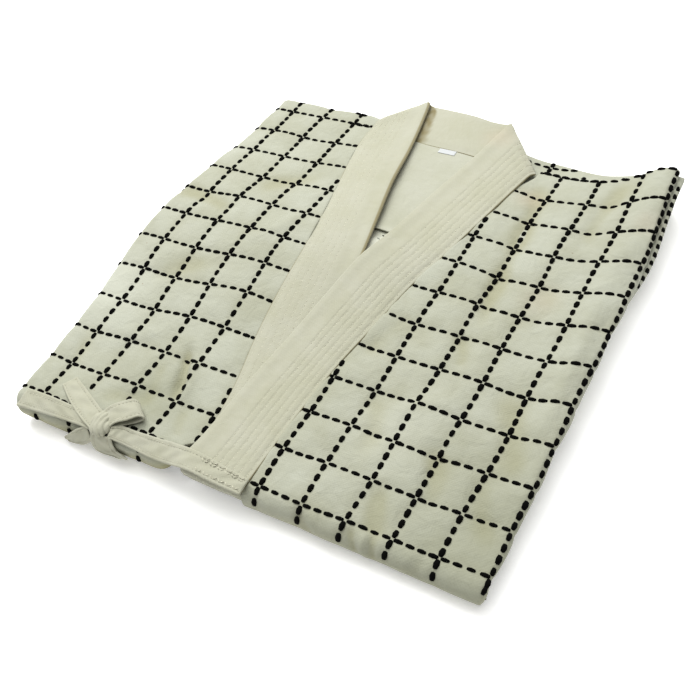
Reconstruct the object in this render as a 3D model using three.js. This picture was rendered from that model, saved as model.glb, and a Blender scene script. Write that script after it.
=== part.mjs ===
// A kendogi (practice jacket for kendo) of unbleached sashiko cotton, folded square and tied.
// Millimetres. X runs across the folded jacket, Y along the body towards the neck, Z is up.
// The origin is in the middle of the flat underside. The wearer's left front is at +X, on top.
import * as THREE from 'three';

// Driving sizes.
const CLOTH = 2.2; // quilted body cloth, one layer
const BAND = 3.2; // collar band, folded and quilted
const LINING = 1.2; // plain shoulder lining
const SLEEVE = 4.4; // a sleeve laid flat, two layers
const TIE = 1.8; // tie, a strap sewn double
const LABEL = 0.6;
const PACK = { left: -176, right: 199.5, front: -196.8, shoulder: 189, height: 24 };
const CENTRE = { x: 8.55, y: 4.85 };
const SIDE_BULGE = { out: 11, y: 5, reach: 110 };
const RIGHT_SIDE = { flare: 4, taper: 6 }; // wider at the front corner, narrower at the shoulder

// Rounded folds: radius of the outer face and how far the cloth turns, in degrees.
const FRONT_FOLD = { radius: 12.6, turn: 140 };
const RIGHT_FOLD = { radius: 3.6, turn: 100 };
const LEFT_FOLD = { radius: 6.5, turn: 120 };
const SHOULDER_FOLD = { radius: 5.4, turn: 105 };

// Gentle rises and hollows of the top: where, how much, and how far each fades.
const RELIEFS = [
  { rise: 12, x: -80, left: 400, right: 115, y: 15, front: 85, back: 85 },
  { rise: -11, x: 90, left: 40, right: 45, y: 200, front: 60, back: 60 },
  { rise: 13, x: 200, left: 42, right: 60, y: 195, front: 75, back: 60 },
  { rise: 4, x: 176, left: 16, right: 14, y: 60, front: 110, back: 130 },
];

// Collar band, from its end at the wearer's left front, round the neck, to the right front.
// Each row is one section: its seam edge and its free edge, with their lift above the top.
const COLLAR = [
  { seam: [31, -195.5, -0.6], free: [-17.5, -184, 3.2] },
  { seam: [31.5, -172, -0.5], free: [-15, -168, 3.0] },
  { seam: [33.5, -120, -0.5], free: [-11.5, -117, 2.8] },
  { seam: [38, -76, -0.5], free: [-5.5, -72, 2.8] },
  { seam: [44, -40, -0.5], free: [0, -33, 3.4] },
  { seam: [51, 6, -0.5], free: [6.5, 14, 4.6] },
  { seam: [58, 36, -0.5], free: [13, 45, 3.2] },
  { seam: [69, 90, -0.3], free: [21, 101, 2.0] },
  { seam: [78, 142, 1.4], free: [33, 160, 3.2] },
  { seam: [81, 157, 2.6], free: [44, 201, 3.6] },
  { seam: [84, 161, 1.2], free: [47.2, 206.5, 1.8] },
  { seam: [79, 160.5, -1.0], free: [43, 205, -1.0] },
  { seam: [55, 161, -1.4], free: [28, 206.5, -0.6] },
  { seam: [20, 163, -1.4], free: [8, 209, 0.2] },
  { seam: [-28, 166, -1.4], free: [-20, 211, 0.2] },
  { seam: [-60, 177, -1.2], free: [-34, 212.5, 0.4] },
  { seam: [-69, 182.5, 0.4], free: [-38.5, 214.5, 3.2] },
  { seam: [-70, 180, 2.4], free: [-35.5, 212, 6.6] },
  { seam: [-71, 168, 0.4], free: [-31, 190, 5.0] },
  { seam: [-70.5, 143, -0.5], free: [-23.4, 150, 3.0] },
  { seam: [-60, 96, -0.5], free: [-16.5, 105, 2.0] },
  { seam: [-49, 52, -0.5], free: [-6, 62, 1.5] },
  { seam: [-41, 8, -0.5], free: [4, 16, 0.0] },
  { seam: [-37, -35, -0.5], free: [10, -30, -3.4] },
  { seam: [-31, -80, -0.5], free: [17, -80, -4.8] },
  { seam: [-22, -122, -1.2], free: [24, -125, -4.8] },
  { seam: [-18, -160, -2.4], free: [28, -165, -4.8] },
  { seam: [-20, -181, -3.0], free: [28, -183, -5.4] },
  { seam: [-26, -193.4, -10], free: [28, -193.4, -12] },
  { seam: [-27, -192.8, -19], free: [28, -192.8, -19.5] },
];
const COLLAR_LEFT_ROWS = [0, 9];
const COLLAR_RIGHT_ROWS = [18, 27];

// Ties: each row is one section of the strap, its two edges in X, Y and height above the floor.
const TIES = {
  tie_left: [
    { edges: [[33, -186, 27.4], [33, -197, 26.8]] },
    { edges: [[14, -184.5, 29.2], [12, -197, 28.2]] },
    { edges: [[-10, -182.6, 30.8], [-10, -196, 29]] },
    { edges: [[-30, -182, 28.6], [-28, -195, 24.8]] },
    { edges: [[-50, -181.6, 26.4], [-50, -194.4, 22.2]] },
    { edges: [[-68, -182.4, 26.4], [-68, -194, 22.6]] },
    { edges: [[-79.5, -184.5, 27.6], [-79.5, -192.5, 25.6]] },
  ],
  tie_right: [
    { edges: [[-169, -185, 27], [-170, -194.5, 22.4]] },
    { edges: [[-150, -183, 26.6], [-150, -195.2, 22]] },
    { edges: [[-128, -182, 26.2], [-128, -194.6, 21.6]] },
    { edges: [[-105.5, -183, 27], [-105.5, -191.5, 25]] },
  ],
  tie_right_tail: [
    { edges: [[-107, -174, 28.6], [-108, -182, 28.6]] },
    { edges: [[-118, -167, 28.4], [-122, -178.6, 28.2]] },
    { edges: [[-137.5, -159.6, 26.6], [-143, -170.6, 26.4]] },
  ],
  tie_left_tail: [
    { edges: [[-104, -194.4, 22.6], [-98, -198, 21]] },
    { edges: [[-112, -197.6, 17.4], [-101, -199.6, 15.4]] },
    { edges: [[-119, -199, 13.4], [-105, -200.6, 10.4]] },
  ],
  bow_loop: [
    { edges: [[-89, -173, 27.4], [-81.5, -181, 27.6]] },
    { edges: [[-85, -166.5, 28.2], [-74, -174.5, 28.4]] },
    { edges: [[-81, -162.2, 30.4], [-70.2, -170, 31]] },
    { edges: [[-80.2, -161.4, 33.4], [-69.4, -169.4, 34]] },
    { edges: [[-82.4, -163.4, 35.8], [-72.4, -171.6, 36]] },
    { edges: [[-87, -168, 35.2], [-77.4, -177, 35]] },
    { edges: [[-91.6, -173.4, 34], [-82.8, -181.6, 33.8]] },
  ],
  bow_loop_lower: [
    { edges: [[-97, -198.6, 21], [-86, -198, 21.4]] },
    { edges: [[-96, -199.4, 14], [-82, -199.4, 14]] },
    { edges: [[-91, -199.8, 8.6], [-78.4, -199.8, 7.4]] },
    { edges: [[-90.8, -202.2, 6.2], [-77.8, -202.2, 5.2]] },
    { edges: [[-91.6, -204.6, 9], [-79, -204.6, 8]] },
    { edges: [[-96, -204.2, 15], [-83, -204, 15]] },
    { edges: [[-97.4, -202.6, 21.4], [-87, -202, 21.6]] },
  ],
};

// The knot that wraps the straps, a short thick roll of cloth.
const KNOT = { x: -92.5, y: -185.5, z: 29, long: 22, wide: 17, tall: 9.5, yaw: -38 };

const smooth = (from, to, value) => THREE.MathUtils.smoothstep(value, from, to);
const mix = THREE.MathUtils.lerp;
const bell = (t) => Math.exp(-t * t);

// Height of the jacket's top face over the floor.
function topHeight(x, y) {
  let height = PACK.height;
  for (const relief of RELIEFS) {
    const across = (x - relief.x) / (x < relief.x ? relief.left : relief.right);
    const along = (y - relief.y) / (y < relief.y ? relief.front : relief.back);
    height += relief.rise * bell(across) * bell(along);
  }
  return height;
}

// Left side of the folded jacket, which swells half way up.
function leftEdge(y) {
  return PACK.left - SIDE_BULGE.out * bell((y - SIDE_BULGE.y) / SIDE_BULGE.reach);
}

// Right side, wider at the front corner and narrower at the shoulder.
function rightEdge(y) {
  return PACK.right + RIGHT_SIDE.flare * (1 - smooth(-205, -105, y)) - RIGHT_SIDE.taper * smooth(60, 165, y);
}

// Point on a smooth curve through the rows, for one edge of a strap.
function edgeCurve(points) {
  return new THREE.CatmullRomCurve3(points, false, 'centripetal');
}

// Closed body from a grid of outer points, made thick inwards along the grid's normals.
function wall(grid, thickness, centred = false) {
  const rows = grid.length;
  const columns = grid[0].length;
  const outer = [];
  const inner = [];
  for (let i = 0; i < rows; i++) {
    for (let j = 0; j < columns; j++) {
      const along = grid[Math.min(i + 1, rows - 1)][j].clone().sub(grid[Math.max(i - 1, 0)][j]);
      const across = grid[i][Math.min(j + 1, columns - 1)].clone().sub(grid[i][Math.max(j - 1, 0)]);
      const normal = across.cross(along).normalize();
      const point = grid[i][j];
      outer.push(point.clone().addScaledVector(normal, centred ? thickness / 2 : 0));
      inner.push(point.clone().addScaledVector(normal, centred ? -thickness / 2 : -thickness));
    }
  }
  const positions = [...outer, ...inner].flatMap((p) => [p.x, p.y, p.z]);
  const shift = rows * columns;
  const index = [];
  const quad = (a, b, c, d) => index.push(a, b, c, a, c, d);
  for (let i = 0; i + 1 < rows; i++) {
    for (let j = 0; j + 1 < columns; j++) {
      const a = i * columns + j;
      quad(a, a + 1, a + columns + 1, a + columns);
      quad(shift + a, shift + a + columns, shift + a + columns + 1, shift + a + 1);
    }
  }
  for (let i = 0; i + 1 < rows; i++) {
    const left = i * columns;
    const right = left + columns - 1;
    quad(left, left + columns, shift + left + columns, shift + left);
    quad(right, shift + right, shift + right + columns, right + columns);
  }
  for (let j = 0; j + 1 < columns; j++) {
    const last = (rows - 1) * columns + j;
    quad(j, shift + j, shift + j + 1, j + 1);
    quad(last, last + 1, shift + last + 1, shift + last);
  }
  return bodyFrom(positions, index);
}

function bodyFrom(positions, index) {
  const geometry = new THREE.BufferGeometry();
  geometry.setAttribute('position', new THREE.Float32BufferAttribute(positions, 3));
  geometry.setIndex(index);
  geometry.computeVertexNormals();
  return geometry;
}

// How far cloth has gone out and down at a share of its turn round a fold.
function turned(fold, share) {
  const angle = THREE.MathUtils.degToRad(fold.turn) * share;
  return { out: fold.radius * Math.sin(angle), down: fold.radius * (1 - Math.cos(angle)) };
}

// Stations along a panel: rounded fold before, flat middle, rounded fold after.
function stations(foldBefore, flatSteps, foldAfter, foldSteps = 5) {
  const list = [];
  if (foldBefore) {
    for (let k = foldSteps; k > 0; k--) {
      list.push({ flat: 0, share: k / foldSteps, side: -1, fold: foldBefore });
    }
  }
  for (let k = 0; k <= flatSteps; k++) list.push({ flat: k / flatSteps, share: 0, side: 0 });
  if (foldAfter) {
    for (let k = 1; k <= foldSteps; k++) {
      list.push({ flat: 1, share: k / foldSteps, side: 1, fold: foldAfter });
    }
  }
  return list;
}

// Shift of cloth that is turned over one fold, or over a rounded corner where two folds meet.
function bend(column, row) {
  const share = Math.max(column.share, row.share);
  if (share === 0) return { x: 0, y: 0, down: 0 };
  const quarter = Math.PI / 4;
  const lean = column.share >= row.share
    ? quarter * (row.share / column.share)
    : 2 * quarter - quarter * (column.share / row.share);
  const across = turned(column.fold ?? row.fold, share);
  const along = turned(row.fold ?? column.fold, share);
  return {
    x: column.side * across.out * Math.cos(lean),
    y: row.side * along.out * Math.sin(lean),
    down: mix(across.down, along.down, Math.sin(lean) ** 2),
  };
}

// Front panel: a wall between two side edges, folded over at the front and the shoulder.
function panelGrid({ across, along, leftX, rightX, frontY, shoulderY }) {
  return along.map((row) => across.map((column) => {
    const guessX = mix(leftX(0), rightX(0), column.flat);
    const flatY = mix(frontY, shoulderY(guessX), row.flat);
    const flatX = mix(leftX(flatY), rightX(flatY), column.flat);
    const shift = bend(column, row);
    return new THREE.Vector3(flatX + shift.x, flatY + shift.y, topHeight(flatX, flatY) - shift.down);
  }));
}

// Collar sections as two edge curves, sampled alike wherever they are needed.
const COLLAR_STEPS = 100;
const collarEdge = (name) => edgeCurve(COLLAR.map((row) => {
  const [x, y, lift] = row[name];
  return new THREE.Vector3(x, y, topHeight(x, y) + lift);
}));
const SEAM_EDGE = collarEdge('seam');
const FREE_EDGE = collarEdge('free');

// X of the collar seam at a height along the body, between two rows of the collar.
function seamX(y, [firstRow, lastRow]) {
  let best = null;
  for (let k = 0; k <= 400; k++) {
    const row = mix(firstRow, lastRow, k / 400);
    const point = SEAM_EDGE.getPoint(row / (COLLAR.length - 1));
    if (!best || Math.abs(point.y - y) < Math.abs(best.y - y)) best = point;
  }
  return best.x;
}

function collar() {
  const grid = [];
  for (let k = 0; k <= COLLAR_STEPS; k++) {
    const seam = SEAM_EDGE.getPoint(k / COLLAR_STEPS);
    const free = FREE_EDGE.getPoint(k / COLLAR_STEPS);
    grid.push([0, 0.5, 1].map((w) => free.clone().lerp(seam, w)));
  }
  return wall(grid, BAND, true);
}

function frontLeft() {
  const seamGap = 0.8;
  return wall(panelGrid({
    across: stations(null, 10, RIGHT_FOLD, 4),
    along: stations(FRONT_FOLD, 17, { radius: 2.6, turn: 75 }, 3),
    leftX: (y) => seamX(y, COLLAR_LEFT_ROWS) + seamGap + 3.8 * smooth(136, 158, y),
    rightX: (y) => rightEdge(y) - RIGHT_FOLD.radius,
    frontY: PACK.front + FRONT_FOLD.radius,
    shoulderY: (x) => 168.5 - 6 * smooth(80, 130, x) + 14 * smooth(138, 188, x),
  }), CLOTH);
}

function frontRight() {
  const seamGap = 0.8;
  return wall(panelGrid({
    across: stations(LEFT_FOLD, 7, null, 5),
    along: stations(FRONT_FOLD, 17, SHOULDER_FOLD, 4),
    leftX: (y) => leftEdge(y) + LEFT_FOLD.radius,
    rightX: (y) => Math.min(seamX(y, COLLAR_RIGHT_ROWS), -28 + 0.09 * (y + 183) ** 2) - seamGap,
    frontY: PACK.front + FRONT_FOLD.radius,
    shoulderY: (x) => PACK.shoulder - SHOULDER_FOLD.radius - 5 * smooth(-90, -60, x),
  }), CLOTH);
}

// Sleeve folded flat behind its front, a slab that peeps out past the shoulder.
function sleeve({ leftX, rightX, frontY, shoulderY, under, steps }) {
  const grid = [];
  for (let i = 0; i <= steps.along; i++) {
    const row = [];
    for (let j = 0; j <= steps.across; j++) {
      const u = j / steps.across;
      const guessX = mix(leftX(mix(frontY, 180, i / steps.along)), rightX(0), u);
      const y = mix(frontY, shoulderY(guessX), i / steps.along);
      const x = mix(leftX(y), rightX(y), u);
      row.push(new THREE.Vector3(x, y, Math.max(topHeight(x, y) - under(x), SLEEVE + 2)));
    }
    grid.push(row);
  }
  return wall(grid, SLEEVE);
}

const sleeveLeft = () => sleeve({
  leftX: (y) => mix(96, 60, smooth(130, 158, y)),
  rightX: (y) => rightEdge(y) - 0.6,
  frontY: -55,
  shoulderY: (x) => 187 - 13 * smooth(88, 142, x),
  under: (x) => 3.4 + 1.8 * smooth(168, 188, x),
  steps: { along: 14, across: 9 },
});

const sleeveRight = () => sleeve({
  leftX: (y) => leftEdge(y) + 10,
  rightX: () => -78,
  frontY: -55,
  shoulderY: () => PACK.shoulder - 9,
  under: () => 3.4,
  steps: { along: 12, across: 5 },
});

// Flat cloth inside the neck opening.
function inset({ left, right, front, back, under, thickness, steps }) {
  const grid = [];
  for (let i = 0; i <= steps; i++) {
    const row = [];
    for (let j = 0; j <= steps; j++) {
      const x = mix(left, right, j / steps);
      const y = mix(front, back, i / steps);
      row.push(new THREE.Vector3(x, y, topHeight(x, y) - under));
    }
    grid.push(row);
  }
  return wall(grid, thickness);
}

// Strap swept through sections with two named edges.
function strap(rows, thickness, steps = 4) {
  const edges = [0, 1].map((side) => edgeCurve(rows.map((row) => new THREE.Vector3(...row.edges[side]))));
  const leftward = rows[0].edges[0][0] > rows[rows.length - 1].edges[0][0];
  const grid = [];
  const count = (rows.length - 1) * steps;
  for (let k = 0; k <= count; k++) {
    const [a, b] = edges.map((edge) => edge.getPoint(k / count));
    const section = [a, a.clone().lerp(b, 0.5), b];
    grid.push(leftward ? section.reverse() : section);
  }
  return wall(grid.reverse(), thickness, true);
}

// Round-ended cushion of cloth: a sphere pulled to three sizes and turned to lie on an axis.
function pad(size, axis, centre) {
  const geometry = new THREE.SphereGeometry(0.5, 16, 10);
  const turn = new THREE.Quaternion().setFromUnitVectors(new THREE.Vector3(1, 0, 0), axis.clone().normalize());
  geometry.scale(...size).applyQuaternion(turn).translate(centre.x, centre.y, centre.z);
  return geometry;
}

function knot() {
  const yaw = THREE.MathUtils.degToRad(KNOT.yaw);
  const axis = new THREE.Vector3(Math.cos(yaw), Math.sin(yaw), 0);
  return pad([KNOT.long, KNOT.wide, KNOT.tall], axis, new THREE.Vector3(KNOT.x, KNOT.y, KNOT.z));
}

// Hidden layers: one rounded solid with a flat underside and layered edges.
// Each level is a ring at a share of the local height, set in from the four sides.
const CORE_LEVELS = [
  { share: 0, right: 11, front: 13, left: 14, back: 12 },
  { share: 0.05, right: 6, front: 9, left: 8, back: 7 },
  { share: 0.13, right: 2.8, front: 8.5, left: 4, back: 4 },
  { share: 0.22, right: 4.6, front: 7.5, left: 6, back: 6 },
  { share: 0.31, right: 2, front: 6.8, left: 4, back: 4 },
  { share: 0.4, right: 4.4, front: 6.8, left: 6, back: 6 },
  { share: 0.52, right: 6, front: 6.8, left: 12, back: 12 },
  { share: 0.7, right: 9, front: 9, left: 14, back: 14 },
];
const CORE_TOP_RINGS = [18, 28, 44, 70, 105, 145];
const CORE_CORNER = 0.09; // share of each half side taken by a rounded corner
const CORE_SIDE_STEPS = 13;
const CORE_CORNER_STEPS = 4;

// Rounded square from -1 to 1, walked evenly and counter-clockwise.
function roundedSquare() {
  const points = [];
  const straight = 1 - CORE_CORNER;
  for (let side = 0; side < 4; side++) {
    const turn = (side * Math.PI) / 2;
    const place = (x, y) => points.push([
      x * Math.cos(turn) - y * Math.sin(turn), x * Math.sin(turn) + y * Math.cos(turn),
    ]);
    for (let k = 0; k < CORE_SIDE_STEPS; k++) place(1, mix(-straight, straight, k / CORE_SIDE_STEPS));
    for (let k = 0; k < CORE_CORNER_STEPS; k++) {
      const angle = (k / CORE_CORNER_STEPS) * (Math.PI / 2);
      place(straight + CORE_CORNER * Math.cos(angle), straight + CORE_CORNER * Math.sin(angle));
    }
  }
  return points;
}

const CORE_OUTLINE = roundedSquare();
const CORE_SIDES = CORE_OUTLINE.length;

function coreRing(inset) {
  return CORE_OUTLINE.map(([across, along]) => {
    const y = along * (along > 0 ? PACK.shoulder - inset.back : -(PACK.front + inset.front));
    const x = across * (across > 0 ? rightEdge(y) - inset.right : -(leftEdge(y) + inset.left));
    return [x, y];
  });
}

function coreTop(x, y) {
  const collarZone = smooth(-112, -84, x) * (1 - smooth(94, 122, x));
  const sleeveZone = smooth(-115, -88, y);
  const rightEdgeZone = smooth(150, 176, x) * sleeveZone;
  const lowered = 1 - (1 - collarZone) * (1 - sleeveZone);
  const shoulderZone = 1.2 * smooth(30, 60, x) * smooth(150, 172, y);
  const height = topHeight(x, y) - 3.4 - 6.2 * lowered - 2.4 * rightEdgeZone - shoulderZone;
  return Math.max(height, 3);
}

function hiddenLayers() {
  const positions = [];
  for (const level of CORE_LEVELS) {
    for (const [x, y] of coreRing(level)) {
      positions.push(x, y, Math.min(level.share * topHeight(x, y), coreTop(x, y)));
    }
  }
  for (const inset of CORE_TOP_RINGS) {
    const sides = { right: inset, front: inset - 2, left: inset, back: inset };
    for (const [x, y] of coreRing(sides)) positions.push(x, y, coreTop(x, y));
  }
  const rings = CORE_LEVELS.length + CORE_TOP_RINGS.length;
  positions.push(0, 0, 0, 5, 0, coreTop(5, 0));
  const bottom = rings * CORE_SIDES;
  const index = [];
  for (let k = 0; k < CORE_SIDES; k++) {
    const next = (k + 1) % CORE_SIDES;
    index.push(bottom, next, k);
    for (let r = 0; r + 1 < rings; r++) {
      const low = r * CORE_SIDES;
      const high = low + CORE_SIDES;
      index.push(low + k, low + next, high + next, low + k, high + next, high + k);
    }
    const last = (rings - 1) * CORE_SIDES;
    index.push(last + k, last + next, bottom + 1);
  }
  return bodyFrom(positions, index);
}

const COTTON = { color: 0xd5d7be, roughness: 0.92, metalness: 0 };
const PLAIN = { color: 0xdad5b8, roughness: 0.88, metalness: 0 };
const jacket = new THREE.Group();

function add(name, geometry, look) {
  const mesh = new THREE.Mesh(geometry, new THREE.MeshStandardMaterial(look));
  mesh.name = name;
  jacket.add(mesh);
}

add('hidden_layers', hiddenLayers(), COTTON);
add('sleeve_left', sleeveLeft(), COTTON);
add('sleeve_right', sleeveRight(), COTTON);
add('front_left', frontLeft(), COTTON);
add('front_right', frontRight(), COTTON);
add('back', inset({
  left: -46, right: 50, front: 6, back: 150, under: 7, thickness: CLOTH, steps: 6,
}), COTTON);
add('shoulder_lining', inset({
  left: -48, right: 56, front: 57, back: 161, under: 4.6, thickness: LINING, steps: 6,
}), PLAIN);
add('neck_label', inset({
  left: -6.5, right: 8.5, front: 156, back: 161, under: 3.6, thickness: LABEL, steps: 2,
}), { color: 0xf0f0ea, roughness: 0.7, metalness: 0 });
add('collar', collar(), PLAIN);
for (const [name, rows] of Object.entries(TIES)) add(name, strap(rows, TIE), PLAIN);
add('bow_knot', knot(), PLAIN);

// The group is moved so that the middle of the jacket's box stands on the origin.
jacket.position.set(-CENTRE.x, -CENTRE.y, 0);

export default jacket;
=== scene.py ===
import logging
import math
from dataclasses import dataclass, field
from enum import Enum
from typing import Callable, Iterable, Iterator, Sequence

import bpy
import numpy as np
from mathutils import Matrix, Vector


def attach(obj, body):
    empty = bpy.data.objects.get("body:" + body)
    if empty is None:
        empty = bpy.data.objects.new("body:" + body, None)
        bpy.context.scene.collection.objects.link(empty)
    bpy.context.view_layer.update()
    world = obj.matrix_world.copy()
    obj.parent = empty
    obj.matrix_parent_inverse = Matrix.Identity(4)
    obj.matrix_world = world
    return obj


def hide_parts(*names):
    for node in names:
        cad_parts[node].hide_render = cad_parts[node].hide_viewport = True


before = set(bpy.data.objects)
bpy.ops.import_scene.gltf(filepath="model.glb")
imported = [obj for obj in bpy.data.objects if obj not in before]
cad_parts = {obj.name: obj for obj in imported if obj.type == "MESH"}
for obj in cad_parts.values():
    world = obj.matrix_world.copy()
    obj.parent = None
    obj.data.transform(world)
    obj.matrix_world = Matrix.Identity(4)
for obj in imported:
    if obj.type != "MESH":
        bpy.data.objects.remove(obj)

# A folded practice jacket: sashiko cotton with a grid of black running stitches.
# Sizes are in millimetres in the jacket's own frame, X across, Y towards the neck, Z up.
MM = 0.001
UP = np.array([0.0, 0.0, 1.0])
CENTRE = np.array([8.55, 4.85, 0.0])  # middle of the jacket's box, moved to the origin
ROOT = "root"
LOG = logging.getLogger("kendogi")

Array = np.ndarray
Piece = bpy.types.Object
Material = bpy.types.Material
Tree = bpy.types.NodeTree
Node = bpy.types.Node
Socket = bpy.types.NodeSocket
Value = float | tuple | Socket | Node  # what an input of a node takes


# ---------- Small mathematics ----------

def smooth(start: float, end: float, value: Array) -> Array:
    """Return a soft step from 0 at start to 1 at end."""
    share = np.clip((np.asarray(value, float) - start) / (end - start), 0, 1)
    return share * share * (3 - 2 * share)


def bell(value: Array) -> Array:
    """Return a bell curve of height 1 and reach 1."""
    return np.exp(-np.square(value))


def mix(low: Array, high: Array, share: Array) -> Array:
    """Return the value at a share of the way from low to high."""
    return low + (high - low) * share


def paired(x: Array, y: Array) -> Sequence[Array]:
    """Return two sets of numbers as arrays of one shape."""
    return np.broadcast_arrays(np.asarray(x, float), np.asarray(y, float))


def share_grid(along: int, across: int) -> Sequence[Array]:
    """Return the shares along and across, from 0 to 1, at each point of a grid of so many steps."""
    return np.meshgrid(np.linspace(0, 1, along + 1), np.linspace(0, 1, across + 1), indexing="ij")


def border(grid: Array) -> Array:
    """Return the values round the edge of a grid, in order."""
    return np.concatenate([grid[0, :-1], grid[:-1, -1], grid[-1, :0:-1], grid[:0:-1, 0]])


def path_length(points: Array) -> float:
    """Return the length of a path through points."""
    return float(np.linalg.norm(np.diff(points, axis=0), axis=1).sum())


def ring_numbers(rings: int, count: int) -> tuple[Array, Array]:
    """Return the numbers of points on rings, and of the next point round from each."""
    number = np.arange(rings * count).reshape(rings, count)
    return number, np.roll(number, -1, axis=1)


def unit(vectors: Array) -> Array:
    """Return the vectors at length 1."""
    return vectors / np.maximum(np.linalg.norm(vectors, axis=-1, keepdims=True), 1e-9)


def grid_normals(grid: Array) -> Array:
    """Return the normal at each point of a grid of rows (along) and columns (across)."""
    return unit(np.cross(np.gradient(grid, axis=1), np.gradient(grid, axis=0)))


class Spline:
    """Centripetal Catmull-Rom curve through a few points, as the solids' edges are."""

    def __init__(self, points: Sequence[Sequence[float]]) -> None:
        """Keep the points, with one more past each end.

        Args:
            points: the points that the curve passes through.
        """
        inner = np.asarray(points, float)
        self.last = len(inner) - 1
        self.points = np.vstack([2 * inner[0] - inner[1], inner, 2 * inner[-1] - inner[-2]])

    def at(self, share: Array) -> Array:
        """Return the points at shares of the curve.

        Args:
            share: values from 0 to 1.

        Returns:
            One point for each share.
        """
        place = np.clip(np.asarray(share, float), 0, 1) * self.last
        span = np.minimum(place.astype(int), self.last - 1)
        weight = (place - span)[..., None]
        p0, p1, p2, p3 = (self.points[span + k] for k in range(4))
        spans = ((p0, p1), (p1, p2), (p2, p3))
        d0, d1, d2 = (np.sqrt(np.linalg.norm(b - a, axis=-1, keepdims=True)) for a, b in spans)
        out = ((p1 - p0) / d0 - (p2 - p0) / (d0 + d1) + (p2 - p1) / d1) * d1
        into = ((p2 - p1) / d1 - (p3 - p1) / (d1 + d2) + (p3 - p2) / d2) * d1
        cube = 2 * p1 - 2 * p2 + out + into
        square = -3 * p1 + 3 * p2 - 2 * out - into
        return p1 + weight * (out + weight * (square + weight * cube))


# ---------- Materials ----------

def linear(hex_colour: str) -> tuple[float, float, float, float]:
    """Turn an sRGB hex colour into linear red, green, blue and alpha.

    Args:
        hex_colour: six hex digits.

    Returns:
        The linear colour with alpha 1.
    """
    parts = [int(hex_colour[k:k + 2], 16) / 255 for k in (0, 2, 4)]
    return (*[p / 12.92 if p <= 0.04045 else ((p + 0.055) / 1.055) ** 2.4 for p in parts], 1.0)


def add_node(tree: Tree, kind: str, inputs: dict[str | int, Value] | None = None,
             **settings: object) -> Node:
    """Add a node, with its settings and its inputs.

    Args:
        tree: the node tree.
        kind: the node's type.
        inputs: numbers, sockets or nodes, whose first output is meant, by the input's name or number.
        settings: the node's own properties.

    Returns:
        The node.
    """
    node = tree.nodes.new(kind)
    for key, value in settings.items():
        setattr(node, key, value)
    for key, value in (inputs or {}).items():
        if isinstance(value, Node):
            value = value.outputs[0]
        if isinstance(value, Socket):
            tree.links.new(value, node.inputs[key])
        else:
            node.inputs[key].default_value = value
    return node


def math_node(tree: Tree, operation: str, *values: Value) -> Socket:
    """Return the output of one sum on numbers or sockets."""
    return add_node(tree, "ShaderNodeMath", dict(enumerate(values)), operation=operation).outputs[0]


def colour_blend(tree: Tree, share: Value, low: Value, high: Value) -> Socket:
    """Blend two colours.

    Args:
        tree: the node tree.
        share: 0 for the first, 1 for the second.
        low: the first.
        high: the second.

    Returns:
        The blended colour's socket.
    """
    factor, first, second, result = 0, 6, 7, 2  # the mix node's colour sockets
    node = add_node(tree, "ShaderNodeMix", {factor: share, first: low, second: high}, data_type="RGBA")
    return node.outputs[result]


@dataclass(frozen=True)
class Surface:
    """A finish: one named material, with the shader that each kind of finish adds."""

    name: str

    def build(self) -> Material:
        """Make the material.

        Returns:
            The material, with the finish's shader on its output.
        """
        material = bpy.data.materials.new(self.name)
        material.use_nodes = True
        tree = material.node_tree
        tree.nodes.clear()
        add_node(tree, "ShaderNodeOutputMaterial", {"Surface": self.shader(tree)})
        return material

    def shader(self, tree: Tree) -> Node:
        """Return the shader, added to the tree by each kind of finish."""
        raise NotImplementedError


@dataclass(frozen=True)
class StainAndPaintedLight:
    """A faint patch of colour, used for real stains and for painted light and painted shade: where it lies,
    how far it spreads, how strong it is and its colour.
    """

    x: float
    y: float
    reach: float
    strength: float
    colour: str = "C2A58C"


SEED_HUSK = "6E5230"
SLUBS_PER_METRE = (110, 640, 1)  # along the cloth's two directions


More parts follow.
